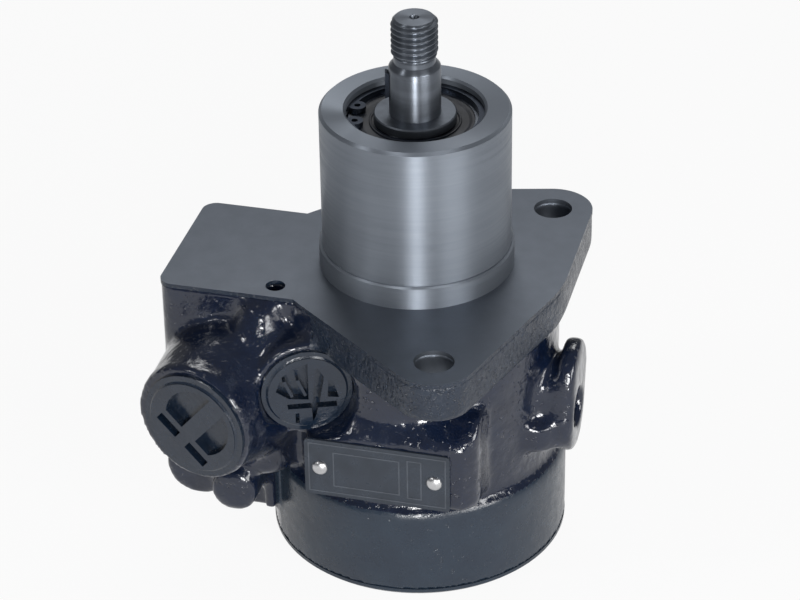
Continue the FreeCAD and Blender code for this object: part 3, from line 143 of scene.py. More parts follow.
class Shading:
    """Builds one procedural material, node by node, on Object coordinates."""

    def __init__(self, name: str) -> None:
        """Starts an empty material.

        Args:
            name: name of the material.
        """
        self.material = bpy.data.materials.new(name)
        self.material.use_nodes = True
        self.tree = self.material.node_tree
        self.tree.nodes.clear()
        self.shader = add_node(self.tree, "ShaderNodeBsdfPrincipled")
        add_node(self.tree, "ShaderNodeOutputMaterial", Surface=self.shader.outputs["BSDF"])
        self.place = add_node(self.tree, "ShaderNodeTexCoord").outputs["Object"]

    def noise(
        self,
        scale: float = 1.0,
        detail: float = 4.0,
        rough: float = 0.6,
        stretch: Place | None = None,
    ) -> Socket:
        """Noise from zero to one.

        Args:
            scale: lumps per metre.
            detail: octaves.
            rough: strength of the finer octaves.
            stretch: lumps per metre along X, Y and Z, with a scale of one.

        Returns:
            The noise value.
        """
        place = self.place
        if stretch is not None:
            mapping = add_node(self.tree, "ShaderNodeMapping", Vector=place, Scale=stretch)
            place = mapping.outputs["Vector"]
        made = add_node(self.tree, "ShaderNodeTexNoise", Vector=place, Scale=scale)
        made.inputs["Detail"].default_value = detail
        made.inputs["Roughness"].default_value = rough
        return made.outputs["Fac"]

    def ramp(
        self, value: Socket, low: float, high: float, start: float = 0.0, end: float = 1.0
    ) -> Socket:
        """Maps a value from one range to another, and clamps it.

        Args:
            value: value to map.
            low: lower end of the range that is read.
            high: upper end of the range that is read.
            start: result at the lower end.
            end: result at the upper end.

        Returns:
            The mapped value.
        """
        made = add_node(self.tree, "ShaderNodeMapRange", Value=value, From__Min=low, From__Max=high)
        made.inputs["To Min"].default_value = start
        made.inputs["To Max"].default_value = end
        return made.outputs["Result"]

    def blend(self, share: Socket, first: Colour | Socket, second: Colour | Socket) -> Socket:
        """Mixes two colours.

        Args:
            share: share of the second colour.
            first: a colour, or a socket.
            second: a colour, or a socket.

        Returns:
            The mixed colour.
        """
        made = add_node(self.tree, "ShaderNodeMix", data_type="RGBA")
        feed(self.tree, made.inputs[MIX_SHARE], share)
        for index, colour in ((MIX_FIRST, first), (MIX_SECOND, second)):
            opaque = (*colour, 1.0) if isinstance(colour, tuple) else colour
            feed(self.tree, made.inputs[index], opaque)
        return made.outputs[MIX_RESULT]

    def relief(
        self, height: Socket, strength: float, depth: float, under: Socket | None = None
    ) -> Socket:
        """Bump from a height.

        Args:
            height: height from zero to one.
            strength: share of the bump that is used.
            depth: depth of the bump.
            under: a bump that lies below this one.

        Returns:
            The bumped normal.
        """
        made = add_node(
            self.tree, "ShaderNodeBump", Height=height, Strength=strength, Distance=depth
        )
        if under is not None:
            feed(self.tree, made.inputs["Normal"], under)
        return made.outputs["Normal"]

    def finish(self, **values: Value) -> Material:
        """Sets the shader's sockets.

        Args:
            values: inputs by name, with spaces written as two underscores.

        Returns:
            The finished material.
        """
        for name, value in values.items():
            feed(self.tree, self.shader.inputs[name.replace("__", " ")], value)
        return self.material


@dataclass(frozen=True)
class CastPaint:
    """Paint over a rough iron casting; the defaults are the gloss of the housing."""

    name: str
    colour: Colour
    worn: Colour
    rough_low: float = 0.1
    rough_high: float = 0.24
    swell: float = 130.0
    swell_depth: float = 0.9 * MM
    lumps: float = 430.0
    lump_depth: float = 0.2 * MM
    grain: float = 1500.0
    grain_depth: float = 0.06 * MM
    pits: float = 620.0
    pit_depth: float = 0.2 * MM
    pit_level: float = 0.62
    pit_edge: float = 0.12
    wash: float = 90.0
    gloss: float = 260.0
    ior: float = 1.48
    coat: float = 0.8
    coat_rough: float = 0.05
    coat_ior: float = 1.45

    def build(self) -> Material:
        """Makes the material.

        Returns:
            The material.
        """
        shade = Shading(self.name)
        swell = shade.noise(self.swell, detail=2.0, rough=0.5)
        lumps = shade.noise(self.lumps, detail=3.0, rough=0.55)
        pits = shade.noise(self.pits, detail=3.0, rough=0.5)
        pits = shade.ramp(pits, self.pit_level, self.pit_level + self.pit_edge, start=1.0, end=0.0)
        bump = shade.relief(swell, strength=0.8, depth=self.swell_depth)
        bump = shade.relief(lumps, strength=0.8, depth=self.lump_depth, under=bump)
        bump = shade.relief(pits, strength=0.8, depth=self.pit_depth, under=bump)
        grain = shade.noise(self.grain)
        bump = shade.relief(grain, strength=0.7, depth=self.grain_depth, under=bump)
        wash = shade.ramp(shade.noise(self.wash), low=0.35, high=0.7)
        gloss = shade.ramp(
            shade.noise(self.gloss), low=0.35, high=0.65, start=self.rough_low, end=self.rough_high
        )
        return shade.finish(
            Base__Color=shade.blend(wash, self.colour, self.worn),
            Roughness=gloss,
            Normal=bump,
            IOR=self.ior,
            Coat__Weight=self.coat,
            Coat__Roughness=self.coat_rough,
            Coat__IOR=self.coat_ior,
            Coat__Normal=bump,
        )


@dataclass(frozen=True)
class TurnedSteel:
    """Steel or iron turned about Z, with fine rings from the tool and their streak of light."""

    name: str
    colour: Colour
    dull: Colour
    roughness: float
    ring_scale: float
    ring_depth: float
    metallic: float
    smoother: float = 0.07
    rougher: float = 0.09
    lay: float = 0.85
    lay_turn: float = 0.25
    ring_span: float = 12.0
    band_scale: float = 210.0
    band_span: float = 22.0
    grain: float = 2400.0
    grain_depth: float = 0.03 * MM

    def build(self) -> Material:
        """Makes the material.

        Returns:
            The material.
        """
        shade = Shading(self.name)
        rings = shade.noise(detail=3.0, stretch=(self.ring_span, self.ring_span, self.ring_scale))
        bands = shade.noise(stretch=(self.band_span, self.band_span, self.band_scale))
        dull = shade.ramp(bands, low=0.3, high=0.72)
        bump = shade.relief(rings, strength=0.6, depth=self.ring_depth)
        grain = shade.noise(self.grain)
        bump = shade.relief(grain, strength=0.35, depth=self.grain_depth, under=bump)
        around = add_node(shade.tree, "ShaderNodeTangent", direction_type="RADIAL", axis="Z")
        low, high = self.roughness - self.smoother, self.roughness + self.rougher
        return shade.finish(
            Base__Color=shade.blend(dull, self.colour, self.dull),
            Metallic=self.metallic,
            Roughness=shade.ramp(rings, low=0.3, high=0.7, start=low, end=high),
            Normal=bump,
            Anisotropic=self.lay,
            Anisotropic__Rotation=self.lay_turn,
            Tangent=around.outputs["Tangent"],
        )


@dataclass(frozen=True)
class MilledSteel:
    """Flat machined iron with a fine grain and stains."""

    name: str
    colour: Colour
    dull: Colour
    roughness: float
    metallic: float
    smoother: float = 0.02
    rougher: float = 0.03
    grain: float = 1500.0
    grain_depth: float = 0.02 * MM
    stain: float = 120.0
    lay: float = 3000.0
    lay_length: float = 120.0
    lay_depth: float = 0.01 * MM

    def build(self) -> Material:
        """Makes the material.

        Returns:
            The material.
        """
        shade = Shading(self.name)
        grain = shade.noise(self.grain, detail=6.0, rough=0.7)
        stain = shade.noise(self.stain, detail=5.0, rough=0.62)
        lay = shade.noise(detail=3.0, stretch=(self.lay_length, self.lay, self.lay_length))
        tint = shade.blend(shade.ramp(stain, low=0.32, high=0.7), self.colour, self.dull)
        tint = shade.blend(shade.ramp(grain, low=0.45, high=0.72, end=0.35), tint, self.dull)
        bump = shade.relief(grain, strength=0.4, depth=self.grain_depth)
        low, high = self.roughness - self.smoother, self.roughness + self.rougher
        return shade.finish(
            Base__Color=tint,
            Metallic=self.metallic,
            Roughness=shade.ramp(stain, low=0.3, high=0.7, start=low, end=high),
            Normal=shade.relief(lay, strength=0.3, depth=self.lay_depth, under=bump),
        )


@dataclass(frozen=True)
class PlainFinish:
    """A finish with a little uneven gloss and a fine grain."""

    name: str
    colour: Colour
    roughness: float
    metallic: float
    grain: float = 1600.0
    depth: float = 0.03 * MM
    spread: float = 0.06
    cloud: float = 160.0
    darkening: float = 0.72

    def build(self) -> Material:
        """Makes the material.

        Returns:
            The material.
        """
        shade = Shading(self.name)
        cloud = shade.noise(self.cloud)
        darker = tuple(channel * self.darkening for channel in self.colour)
        low, high = self.roughness - self.spread, self.roughness + self.spread
        return shade.finish(
            Base__Color=shade.blend(shade.ramp(cloud, low=0.35, high=0.7), self.colour, darker),
            Metallic=self.metallic,
            Roughness=shade.ramp(cloud, low=0.3, high=0.7, start=low, end=high),
            Normal=shade.relief(shade.noise(self.grain), strength=0.5, depth=self.depth),
        )


Finish = CastPaint | TurnedSteel | MilledSteel | PlainFinish


@dataclass(frozen=True)
class Finishes:
    """Every finish of the pump."""

    paint: CastPaint = CastPaint("gloss_black_paint", (0.003, 0.007, 0.022), (0.005, 0.011, 0.03))
    # Drum paint: the satin roughness is the drum's own finish; its colour, lighter than the gloss
    # paint, is painted floor light on the drum's side.
    drum_painted_floor_light: CastPaint = CastPaint(
        "satin_drum_paint_painted_floor_light", (0.014, 0.024, 0.041), (0.018, 0.031, 0.05),
        rough_low=0.24, rough_high=0.38, swell=90.0, swell_depth=0.4 * MM,
        lumps=380.0, lump_depth=0.12 * MM, grain=1800.0, grain_depth=0.08 * MM,
        pits=520.0, pit_depth=0.3 * MM, pit_level=0.66, coat=0.35,
    )
    rim: CastPaint = CastPaint(
        "cast_flange_edge", (0.006, 0.013, 0.028), (0.011, 0.021, 0.04),
        rough_low=0.26, rough_high=0.46, swell=160.0, swell_depth=0.6 * MM,
        lumps=640.0, lump_depth=0.5 * MM, grain=1900.0, grain_depth=0.2 * MM,
        pits=700.0, pit_depth=0.4 * MM, pit_level=0.56, coat=0.35,
    )
    plastic: CastPaint = CastPaint(
        "painted_plug", (0.006, 0.013, 0.027), (0.011, 0.02, 0.037),
        rough_low=0.16, rough_high=0.3, swell=240.0, swell_depth=0.2 * MM,
        lumps=700.0, lump_depth=0.12 * MM, grain=1900.0, grain_depth=0.05 * MM,
        pits=900.0, pit_depth=0.08 * MM, pit_level=0.66, coat=0.6,
    )
    nose: TurnedSteel = TurnedSteel(
        "turned_nose", (0.255, 0.284, 0.325), (0.22, 0.245, 0.282),
        roughness=0.42, ring_scale=1500.0, ring_depth=0.003 * MM, metallic=0.8,
    )
    shaft: TurnedSteel = TurnedSteel(
        "turned_shaft", (0.2, 0.222, 0.255), (0.12, 0.134, 0.156),
        roughness=0.34, ring_scale=2600.0, ring_depth=0.006 * MM, metallic=0.9, lay=0.7,
    )
    flange: MilledSteel = MilledSteel(
        "milled_flange", (0.15, 0.169, 0.199), (0.137, 0.155, 0.182), roughness=0.43, metallic=0.8
    )
    polished: PlainFinish = PlainFinish(
        "polished_steel", (0.34, 0.37, 0.42), 0.2, 1.0, grain=2500.0, depth=0.01 * MM, spread=0.04
    )
    ground: PlainFinish = PlainFinish("ground_steel", (0.15, 0.168, 0.195), 0.42, 0.9)
    spring: PlainFinish = PlainFinish("oiled_spring_steel", (0.11, 0.12, 0.14), 0.3, 1.0)
    dark: PlainFinish = PlainFinish("blackened_steel", (0.045, 0.055, 0.075), 0.35, 0.9)
    rubber: PlainFinish = PlainFinish("seal_rubber", (0.014, 0.02, 0.034), 0.45, 0.0, grain=2200.0)
    bronze: PlainFinish = PlainFinish("bearing_bronze", (0.5, 0.34, 0.18), 0.34, 1.0)
    plate: PlainFinish = PlainFinish(
        "plate_lacquer", (0.032, 0.041, 0.056), 0.3, 0.0, grain=2000.0, depth=0.02 * MM
    )
    line: PlainFinish = PlainFinish("plate_line", (0.12, 0.135, 0.16), 0.35, 0.6)
    bright: PlainFinish = PlainFinish("bright_aluminium", (0.78, 0.78, 0.79), 0.3, 1.0)


def placed(name: str, data: bpy.types.ID) -> bpy.types.Object:
    """Makes an object at the origin and links it to the scene.

    Args:
        name: name of the object.
        data: its mesh, lamp or camera.

    Returns:
        The new object.
    """
    made = bpy.data.objects.new(name, data)
    bpy.context.scene.collection.objects.link(made)
    return made


def drawn(name: str, form: Form) -> Mesh:
    """Turns a mesh under construction into a finished one.

    Args:
        name: name of the mesh.
        form: mesh under construction, which is freed.

    Returns:
        The finished mesh.
    """
    mesh = bpy.data.meshes.new(name)
    form.to_mesh(mesh)
    form.free()
    return mesh


def settle(
    name: str, mesh: Mesh, body: Body, smooth: float | None = 35.0
) -> bpy.types.Object:
    """Links a finished mesh as a piece of the object.

    Args:
        name: name of the piece.
        mesh: finished mesh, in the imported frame.
        body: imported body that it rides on.
        smooth: angle in degrees above which an edge stays sharp, or none for smooth throughout.

    Returns:
        The new object.
    """
    mesh.name = name
    piece = placed(name, mesh)
    mesh.shade_smooth()
    if smooth is not None:
        mesh.set_sharp_from_angle(angle=math.radians(smooth))
    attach(piece, body.value)
    log.info("%s: %d faces on %s", name, len(mesh.polygons), body.value)
    return piece


def evaluated(source: bpy.types.Object) -> Mesh:
    """Applies an object's modifiers to a new mesh, and removes the object and its old mesh.

    Args:
        source: scratch object.

    Returns:
        The mesh with its modifiers applied.
    """
    graph = bpy.context.evaluated_depsgraph_get()
    mesh = bpy.data.meshes.new_from_object(source.evaluated_get(graph), depsgraph=graph)
    old = source.data
    bpy.data.objects.remove(source)
    bpy.data.meshes.remove(old)
    return mesh


def merged_copy(node: str, distance: float = 0.002 * MM) -> Mesh:
    """Copy of a CAD node with its loose triangles joined.

    Args:
        node: name of the node.
        distance: corners that lie closer than this become one.

    Returns:
        The joined copy, without the node's material and stored normals.
    """
    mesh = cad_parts[node].data.copy()
    form = bmesh.new()
    form.from_mesh(mesh)
    bmesh.ops.remove_doubles(form, verts=form.verts, dist=distance)
    form.to_mesh(mesh)
    form.free()
    mesh.materials.clear()
    for layer in ("custom_normal", "sharp_edge", "sharp_face"):
        if layer in mesh.attributes:
            mesh.attributes.remove(mesh.attributes[layer])
    return mesh


def add_cylinder(form: Form, radius: float, low: Place, high: Place, sides: int = 64) -> None:
    """Adds a closed cylinder to a mesh under construction.

    Args:
        form: mesh under construction.
        radius: radius of the cylinder.
        low: centre of one end.
        high: centre of the other end.
        sides: faces round the cylinder.
    """
    start, end = Vector(low), Vector(high)
    axis = end - start
    turn = axis.to_track_quat("Z", "Y").to_matrix().to_4x4()
    bmesh.ops.create_cone(
        form,
        cap_ends=True,
        segments=sides,
        radius1=radius,
        radius2=radius,
        depth=axis.length,
        matrix=Matrix.Translation((start + end) / 2) @ turn,
    )


class Growth:
    """A Geometry Nodes tree with named sizes, which ends in plain geometry with one material."""

    def __init__(self, name: str, material: Material) -> None:
        """Starts an empty tree.

        Args:
            name: name of the tree.
            material: material of everything that the tree makes.
        """
        self.tree = bpy.data.node_groups.new(name, "GeometryNodeTree")
        self.tree.interface.new_socket(
            name="Geometry", in_out="OUTPUT", socket_type="NodeSocketGeometry"
        )
        self.entry = self.tree.nodes.new("NodeGroupInput")
        self.exit = self.tree.nodes.new("NodeGroupOutput")
        self.material = material
        self.sizes: dict[str, float] = {}

    def size(self, name: str, value: float, kind: str = "NodeSocketFloat") -> Socket:
        """Adds a named input.

        Args:
            name: name of the size.
            value: its value, a length or a count.
            kind: Blender's name of the socket type.

        Returns:
            The socket that carries the size inside the tree.
        """
        made = self.tree.interface.new_socket(name=name, in_out="INPUT", socket_type=kind)
        self.sizes[made.identifier] = value
        return self.entry.outputs[name]

    def add(self, kind: str, **values: object) -> Socket:
        """Adds a node.

        Args:
            kind: Blender's name of the node type.
            values: attributes and inputs, as add_node takes them.

        Returns:
            The node's first output.
        """
        return add_node(self.tree, kind, **values).outputs[0]

    def vector(self, x: Value, y: Value, z: Value) -> Socket:
        """Joins three numbers to a vector.

        Args:
            x: part along X.
            y: part along Y.
            z: part along Z.

        Returns:
            The vector.
        """
        return self.add("ShaderNodeCombineXYZ", X=x, Y=y, Z=z)

    def mesh(self, geometry: Socket) -> Mesh:
        """Ends the tree and turns its result into a plain mesh.

        Args:
            geometry: what the tree has made.

        Returns:
            The mesh.
        """
        real = self.add("GeometryNodeRealizeInstances", Geometry=geometry)
        dressed = self.add("GeometryNodeSetMaterial", Geometry=real, Material=self.material)
        self.tree.links.new(dressed, self.exit.inputs[0])
        carrier = placed("scratch", bpy.data.meshes.new(self.tree.name))
        growth = carrier.modifiers.new("growth", "NODES")
        growth.node_group = self.tree
        for identifier, value in self.sizes.items():
            growth[identifier] = value
        return evaluated(carrier)


@dataclass(frozen=True)
class MachinedFace:
    """A round machined face that keeps its edges when the casting is rounded, in millimetres."""

    centre: Place
    normal: Place
    radius: float
    above: float = 1.0
    below: float = 3.2

    def near(self, place: np.ndarray) -> np.ndarray:
        """Points that belong to the face.

        Args:
            place: points in metres, one row each.

        Returns:
            True for each point near the face.
        """
        axis = np.array(self.normal) / np.linalg.norm(self.normal)
        offset = place / MM - np.array(self.centre)
        height = offset @ axis
        apart = np.linalg.norm(offset - height[:, None] * axis, axis=1)
        return (apart < self.radius) & (height < self.above) & (height > -self.below)


@dataclass
class Housing:
    """The iron casting: machined top, painted skin with rounded cast edges, and rear rim."""

    finishes: Finishes
    # Levels of the two cuts, the lap of the skin into top and rim, and a length past the casting.
    top_cut: float = -1.5 * MM
    rim_cut: float = -103.4 * MM
    lap: float = 0.35 * MM
    reach: float = 0.2
    # Discs that close the bores, so that the skin lies outside only.
    rear_disc: float = 42.0 * MM
    rear_disc_level: float = -98.0 * MM
    nose_disc: float = 30.0 * MM
    nose_disc_level: float = -8.0 * MM
    chest_disc: float = 9.4 * MM
    chest_disc_ends: tuple[Place, Place] = (
        (-69.6 * MM, 16.5 * MM, -71.0 * MM),
        (-69.6 * MM, 21.5 * MM, -71.0 * MM),
    )
    # Rounding of the cast edges.
    voxel: float = 1.0 * MM
    rounds: int = 16
    pull: float = 0.5
    kept_band: float = 0.5 * MM
    kept_share: float = 0.06
    bolt_holes: tuple[tuple[float, float], ...] = ((21.5 * MM, -62.2 * MM), (38.6 * MM, 43.8 * MM))
    bolt_guard: float = 7.6 * MM
    bolt_guard_level: float = -14.5 * MM
    machined_faces: tuple[MachinedFace, ...] = (
        MachinedFace((-63.0, -62.6, -37.6), (-0.252, -0.968, 0.0), 21.4),
        MachinedFace((-27.1, -46.9, -28.1), (0.407, -0.914, 0.0), 17.6),
        MachinedFace((59.5, -8.6, -47.0), (1.0, 0.0, 0.0), 10.4, below=1.6),
        MachinedFace((-69.6, 21.5, -71.0), (0.0, 1.0, 0.0), 11.2, below=1.6),
        *(
            MachinedFace((x, -53.8, -54.0), (0.0, -1.0, 0.0), 12.0, below=1.2)
            for x in (-16.0, 0.0, 18.0)
        ),
    )
    # Where one finish ends and the next begins.
    bolt_wall: float = 7.1 * MM
    nose_foot: float = 33.7 * MM
    flange_top: float = 0.2 * MM
    flange_foot: float = -15.9 * MM
    flange_left: float = -26.0 * MM
    facing_up: float = 0.5
    # drum_top, drum_wall and drum_left bound the drum paint, whose lighter colour is painted floor
    # light.
    drum_top: float = -70.6 * MM
    drum_wall: float = 51.5 * MM
    drum_left: float = -44.0 * MM

    def slab(self, low: float, high: float) -> Mesh:
        """The part of the casting between two levels, with sharp edges.

        Args:
            low: lower level.
            high: upper level.

        Returns:
            A closed mesh.
        """
        solid = placed("scratch", merged_copy("housing"))
        form = bmesh.new()
        size = Matrix.Diagonal((self.reach * 2, self.reach * 2, high - low, 1.0))
        place = Matrix.Translation((0, 0, (low + high) / 2))
        bmesh.ops.create_cube(form, size=1.0, matrix=place @ size)
        keeper = placed("scratch", drawn("keep", form))
        cut = solid.modifiers.new("cut", "BOOLEAN")
        cut.operation = "INTERSECT"
        cut.solver = "EXACT"
        cut.object = keeper
        mesh = evaluated(solid)
        bpy.data.objects.remove(keeper)
        return mesh

    def skin(self) -> Mesh:
        """The painted casting between the machined levels, with rounded edges.

        Returns:
            A closed mesh.
        """
        low, high = self.rim_cut - self.lap, self.top_cut + self.lap
        core = self.slab(low, high)
        form = bmesh.new()
        form.from_mesh(core)
        add_cylinder(form, self.rear_disc, (0, 0, low), (0, 0, self.rear_disc_level))
        add_cylinder(form, self.nose_disc, (0, 0, self.nose_disc_level), (0, 0, high))
        add_cylinder(form, self.chest_disc, *self.chest_disc_ends)
        form.to_mesh(core)
        form.free()
        shell = placed("scratch", core)
        remesh = shell.modifiers.new("remesh", "REMESH")
        remesh.mode = "VOXEL"
        remesh.voxel_size = self.voxel
        mesh = evaluated(shell)
        self.soften(mesh)
        return mesh

    def soften(self, mesh: Mesh) -> None:
        """Rounds the edges of the casting, and leaves its machined places as they are.

        Args:
            mesh: mesh to change.
        """
        count = len(mesh.vertices)
        place = np.zeros(count * 3)
        mesh.vertices.foreach_get("co", place)
        place = place.reshape(-1, 3)
        ends = np.zeros(len(mesh.edges) * 2, dtype=np.int64)
        mesh.edges.foreach_get("vertices", ends)
        ends = ends.reshape(-1, 2)
        valence = np.bincount(ends.ravel(), minlength=count)[:, None]
        weight = np.ones(count)
        level = place[:, 2].copy()
        weight[level > self.top_cut - self.kept_band] = 0.0
        weight[level < self.rim_cut + self.kept_band] = 0.0
        for x, y in self.bolt_holes:
            near = np.hypot(place[:, 0] - x, place[:, 1] - y) < self.bolt_guard
            weight[near & (level > self.bolt_guard_level)] = 0.0
        for face in self.machined_faces:
            weight[face.near(place)] = self.kept_share
        weight = weight[:, None]
        for _ in range(self.rounds):
            total = np.zeros_like(place)
            np.add.at(total, ends[:, 0], place[ends[:, 1]])
            np.add.at(total, ends[:, 1], place[ends[:, 0]])
            place += weight * self.pull * (total / valence - place)
        mesh.vertices.foreach_set("co", place.ravel())
        mesh.update()

    def in_bolt_hole(self, spot: Vector) -> bool:
        """Tells whether a point lies on the wall of a bolt hole.

        Args:
            spot: point to test.

        Returns:
            True if it does.
        """
        apart = (math.hypot(spot.x - x, spot.y - y) for x, y in self.bolt_holes)
        return min(apart) < self.bolt_wall

    def dress_top(self, mesh: Mesh) -> None:
        """Gives the machined faces and the cast edge of the flange their finishes.

        Args:
            mesh: top part of the casting.
        """
        for finish in (self.finishes.nose, self.finishes.flange, self.finishes.rim):
            mesh.materials.append(finish.build())
        nose, flange, rim = range(3)
        for face in mesh.polygons:
            spot = face.center
            if spot.z < self.flange_top and math.hypot(spot.x, spot.y) > self.nose_foot:
                milled = face.normal.z > self.facing_up or self.in_bolt_hole(spot)
                face.material_index = flange if milled else rim
            else:
                face.material_index = nose

    def dress_skin(self, mesh: Mesh) -> None:
        """Gives flange edge, casting and drum their paints; the drum's paint is lighter, which is
        painted floor light.

        Args:
            mesh: painted part of the casting.
        """
        use = self.finishes
        for finish in (use.paint, use.rim, use.drum_painted_floor_light, use.flange):
            mesh.materials.append(finish.build())
        _, rim, drum_painted_floor_light, flange = range(4)
        for face in mesh.polygons:
            spot = face.center
            if self.in_bolt_hole(spot):
                face.material_index = flange
            elif spot.z > self.flange_foot and spot.x > self.flange_left:
                face.material_index = rim
            # The lower drum takes the drum paint, whose lighter colour is painted floor light.
            elif (
                spot.z < self.drum_top
                and spot.x > self.drum_left
                and math.hypot(spot.x, spot.y) > self.drum_wall
            ):
                face.material_index = drum_painted_floor_light

    def build(self) -> None:
        """Makes the three pieces of the casting."""
        top = self.slab(self.top_cut, self.reach)
        self.dress_top(top)
        piece = settle("housing_machined_top", top, Body.PUMP)
        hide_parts("housing")
        skin = self.skin()
        self.dress_skin(skin)
        settle("housing_cast_skin", skin, Body.PUMP, smooth=None)
        rim = self.slab(-self.reach, self.rim_cut)
        # The rear rim takes the drum paint, whose lighter colour is painted floor light.
        rim.materials.append(self.finishes.drum_painted_floor_light.build())
        settle("housing_rear_rim", rim, Body.PUMP)


@dataclass
class Shaft:
    """The drive shaft, with its real thread and centre drilling; lengths in millimetres."""

    finishes: Finishes
    # Radius and level of the plain stretch under the thread, from the foot up.
    plain: tuple[tuple[float, float], ...] = (
        (8.0, -82.0), (8.0, -78.0), (9.0, -77.9), (9.0, 10.0), (9.6, 11.3), (9.6, 37.5),
        (12.4, 37.5), (12.4, 40.5), (10.0, 40.5), (10.0, 54.5), (8.75, 54.5), (8.75, 74.6),
        (8.55, 75.0), (7.1, 76.4), (7.1, 77.9),
    )
    pitch: float = 2.0
    crest: float = 7.9
    root: float = 6.75
    crest_share: float = 0.12
    flank_share: float = 0.72
    thread_low: float = 78.4
    thread_high: float = 92.5
    runout: float = 1.6
    runout_lift: float = 0.35
    edge: float = 1.4
    step: float = 0.1
    drill: float = 1.7
    drill_tip: float = 0.5
    drill_depth: float = 2.6
    sides: int = 120

    def thread_radius(self, turn: float, level: float) -> float:
        """Radius of the thread at a turn and a level.

        Args:
            turn: angle about Z in radians.
            level: height of the point.

        Returns:
            The radius.
        """
        phase = (level / self.pitch - turn / (2 * math.pi)) % 1.0
        wave = abs(phase - 0.5) * 2
        flank = min(max((wave - self.crest_share) / self.flank_share, 0.0), 1.0)
        radius = self.crest - (self.crest - self.root) * flank
        chamfer = self.crest - max(0.0, level - (self.thread_high - self.edge))
        share = min(max((level - self.thread_low) / self.runout, 0.0), 1.0)
        low = self.root + self.runout_lift
        if radius > low:
            radius = low + (radius - low) * share
        return min(radius, chamfer)

    def ring(self, form: Form, radii: list[float], level: float) -> list[bmesh.types.BMVert]:
        """Adds one ring of corners.

        Args:
            form: mesh under construction.
            radii: radius at each corner.
            level: height of the ring.

        Returns:
            The corners of the ring.
        """
        corners = []
        for index, radius in enumerate(radii):
            turn = 2 * math.pi * index / self.sides
            spot = (radius * math.cos(turn) * MM, radius * math.sin(turn) * MM, level * MM)
            corners.append(form.verts.new(spot))
        return corners

    def build(self) -> None:
        """Makes the shaft as one closed mesh."""
        form = bmesh.new()
        rings = [self.ring(form, [radius] * self.sides, level) for radius, level in self.plain]
        length = self.thread_high - self.thread_low
        steps = int(round(length / self.step))
        turns = [2 * math.pi * index / self.sides for index in range(self.sides)]
        for step in range(steps + 1):
            level = self.thread_low + length * step / steps
            radii = [self.thread_radius(turn, level) for turn in turns]
            rings.append(self.ring(form, radii, level))
        rings.append(self.ring(form, [self.drill] * self.sides, self.thread_high))
        tip_level = self.thread_high - self.drill_depth
        rings.append(self.ring(form, [self.drill_tip] * self.sides, tip_level))
        for low, high in zip(rings, rings[1:]):
            for index in range(self.sides):
                after = (index + 1) % self.sides
                form.faces.new((low[index], low[after], high[after], high[index]))
        form.faces.new(list(reversed(rings[0])))
        form.faces.new(rings[-1])
        bmesh.ops.recalc_face_normals(form, faces=form.faces)
        mesh = drawn("drive_shaft_threaded", form)
        mesh.materials.append(self.finishes.shaft.build())
        piece = settle("drive_shaft_threaded", mesh, Body.SHAFT, smooth=40.0)
        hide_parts("drive_shaft")


@dataclass
class NamePlate:
    """Thin raised border and two blank fields on the name plate, in millimetres."""

    finishes: Finishes
    face: float = -54.6
    middle_x: float = -0.8
    middle_z: float = -54.4
    length: float = 51.0
    height: float = 22.5
    line: float = 0.45
    rise: float = 0.08
    border: float = 1.3
    wide_from_left: float = 10.0
    wide_from_right: float = 17.5
    wide_inset: float = 4.2
    narrow_start: float = 15.0
    narrow_end: float = 9.8
    narrow_inset: float = 3.4

    def outline(self, form: Form, left: float, right: float, low: float, high: float) -> None:
        """Adds a thin rectangular outline that stands on the plate.

        Args:
            form: mesh under construction.
            left: left side.
            right: right side.
            low: lower side.
            high: upper side.
        """
        thin = self.line
        bars = (
            (left, right, low, low + thin),
            (left, right, high - thin, high),
            (left, left + thin, low + thin, high - thin),
            (right - thin, right, low + thin, high - thin),
        )
        for x0, x1, z0, z1 in bars:
            size = Matrix.Diagonal(((x1 - x0) * MM, self.rise * 2 * MM, (z1 - z0) * MM, 1.0))
            middle = ((x0 + x1) / 2 * MM, self.face * MM, (z0 + z1) / 2 * MM)
            bmesh.ops.create_cube(form, size=1.0, matrix=Matrix.Translation(middle) @ size)

    def build(self) -> None:
        """Makes the border and the two fields."""
        form = bmesh.new()
        left, right = self.middle_x - self.length / 2, self.middle_x + self.length / 2
        low, high = self.middle_z - self.height / 2, self.middle_z + self.height / 2
        for start, end, inset in (
            (left + self.border, right - self.border, self.border),
            (left + self.wide_from_left, right - self.wide_from_right, self.wide_inset),
            (right - self.narrow_start, right - self.narrow_end, self.narrow_inset),
        ):
            self.outline(form, start, end, low + inset, high - inset)
        mesh = drawn("name_plate_lines", form)
        mesh.materials.append(self.finishes.line.build())
        settle("name_plate_lines", mesh, Body.PUMP)


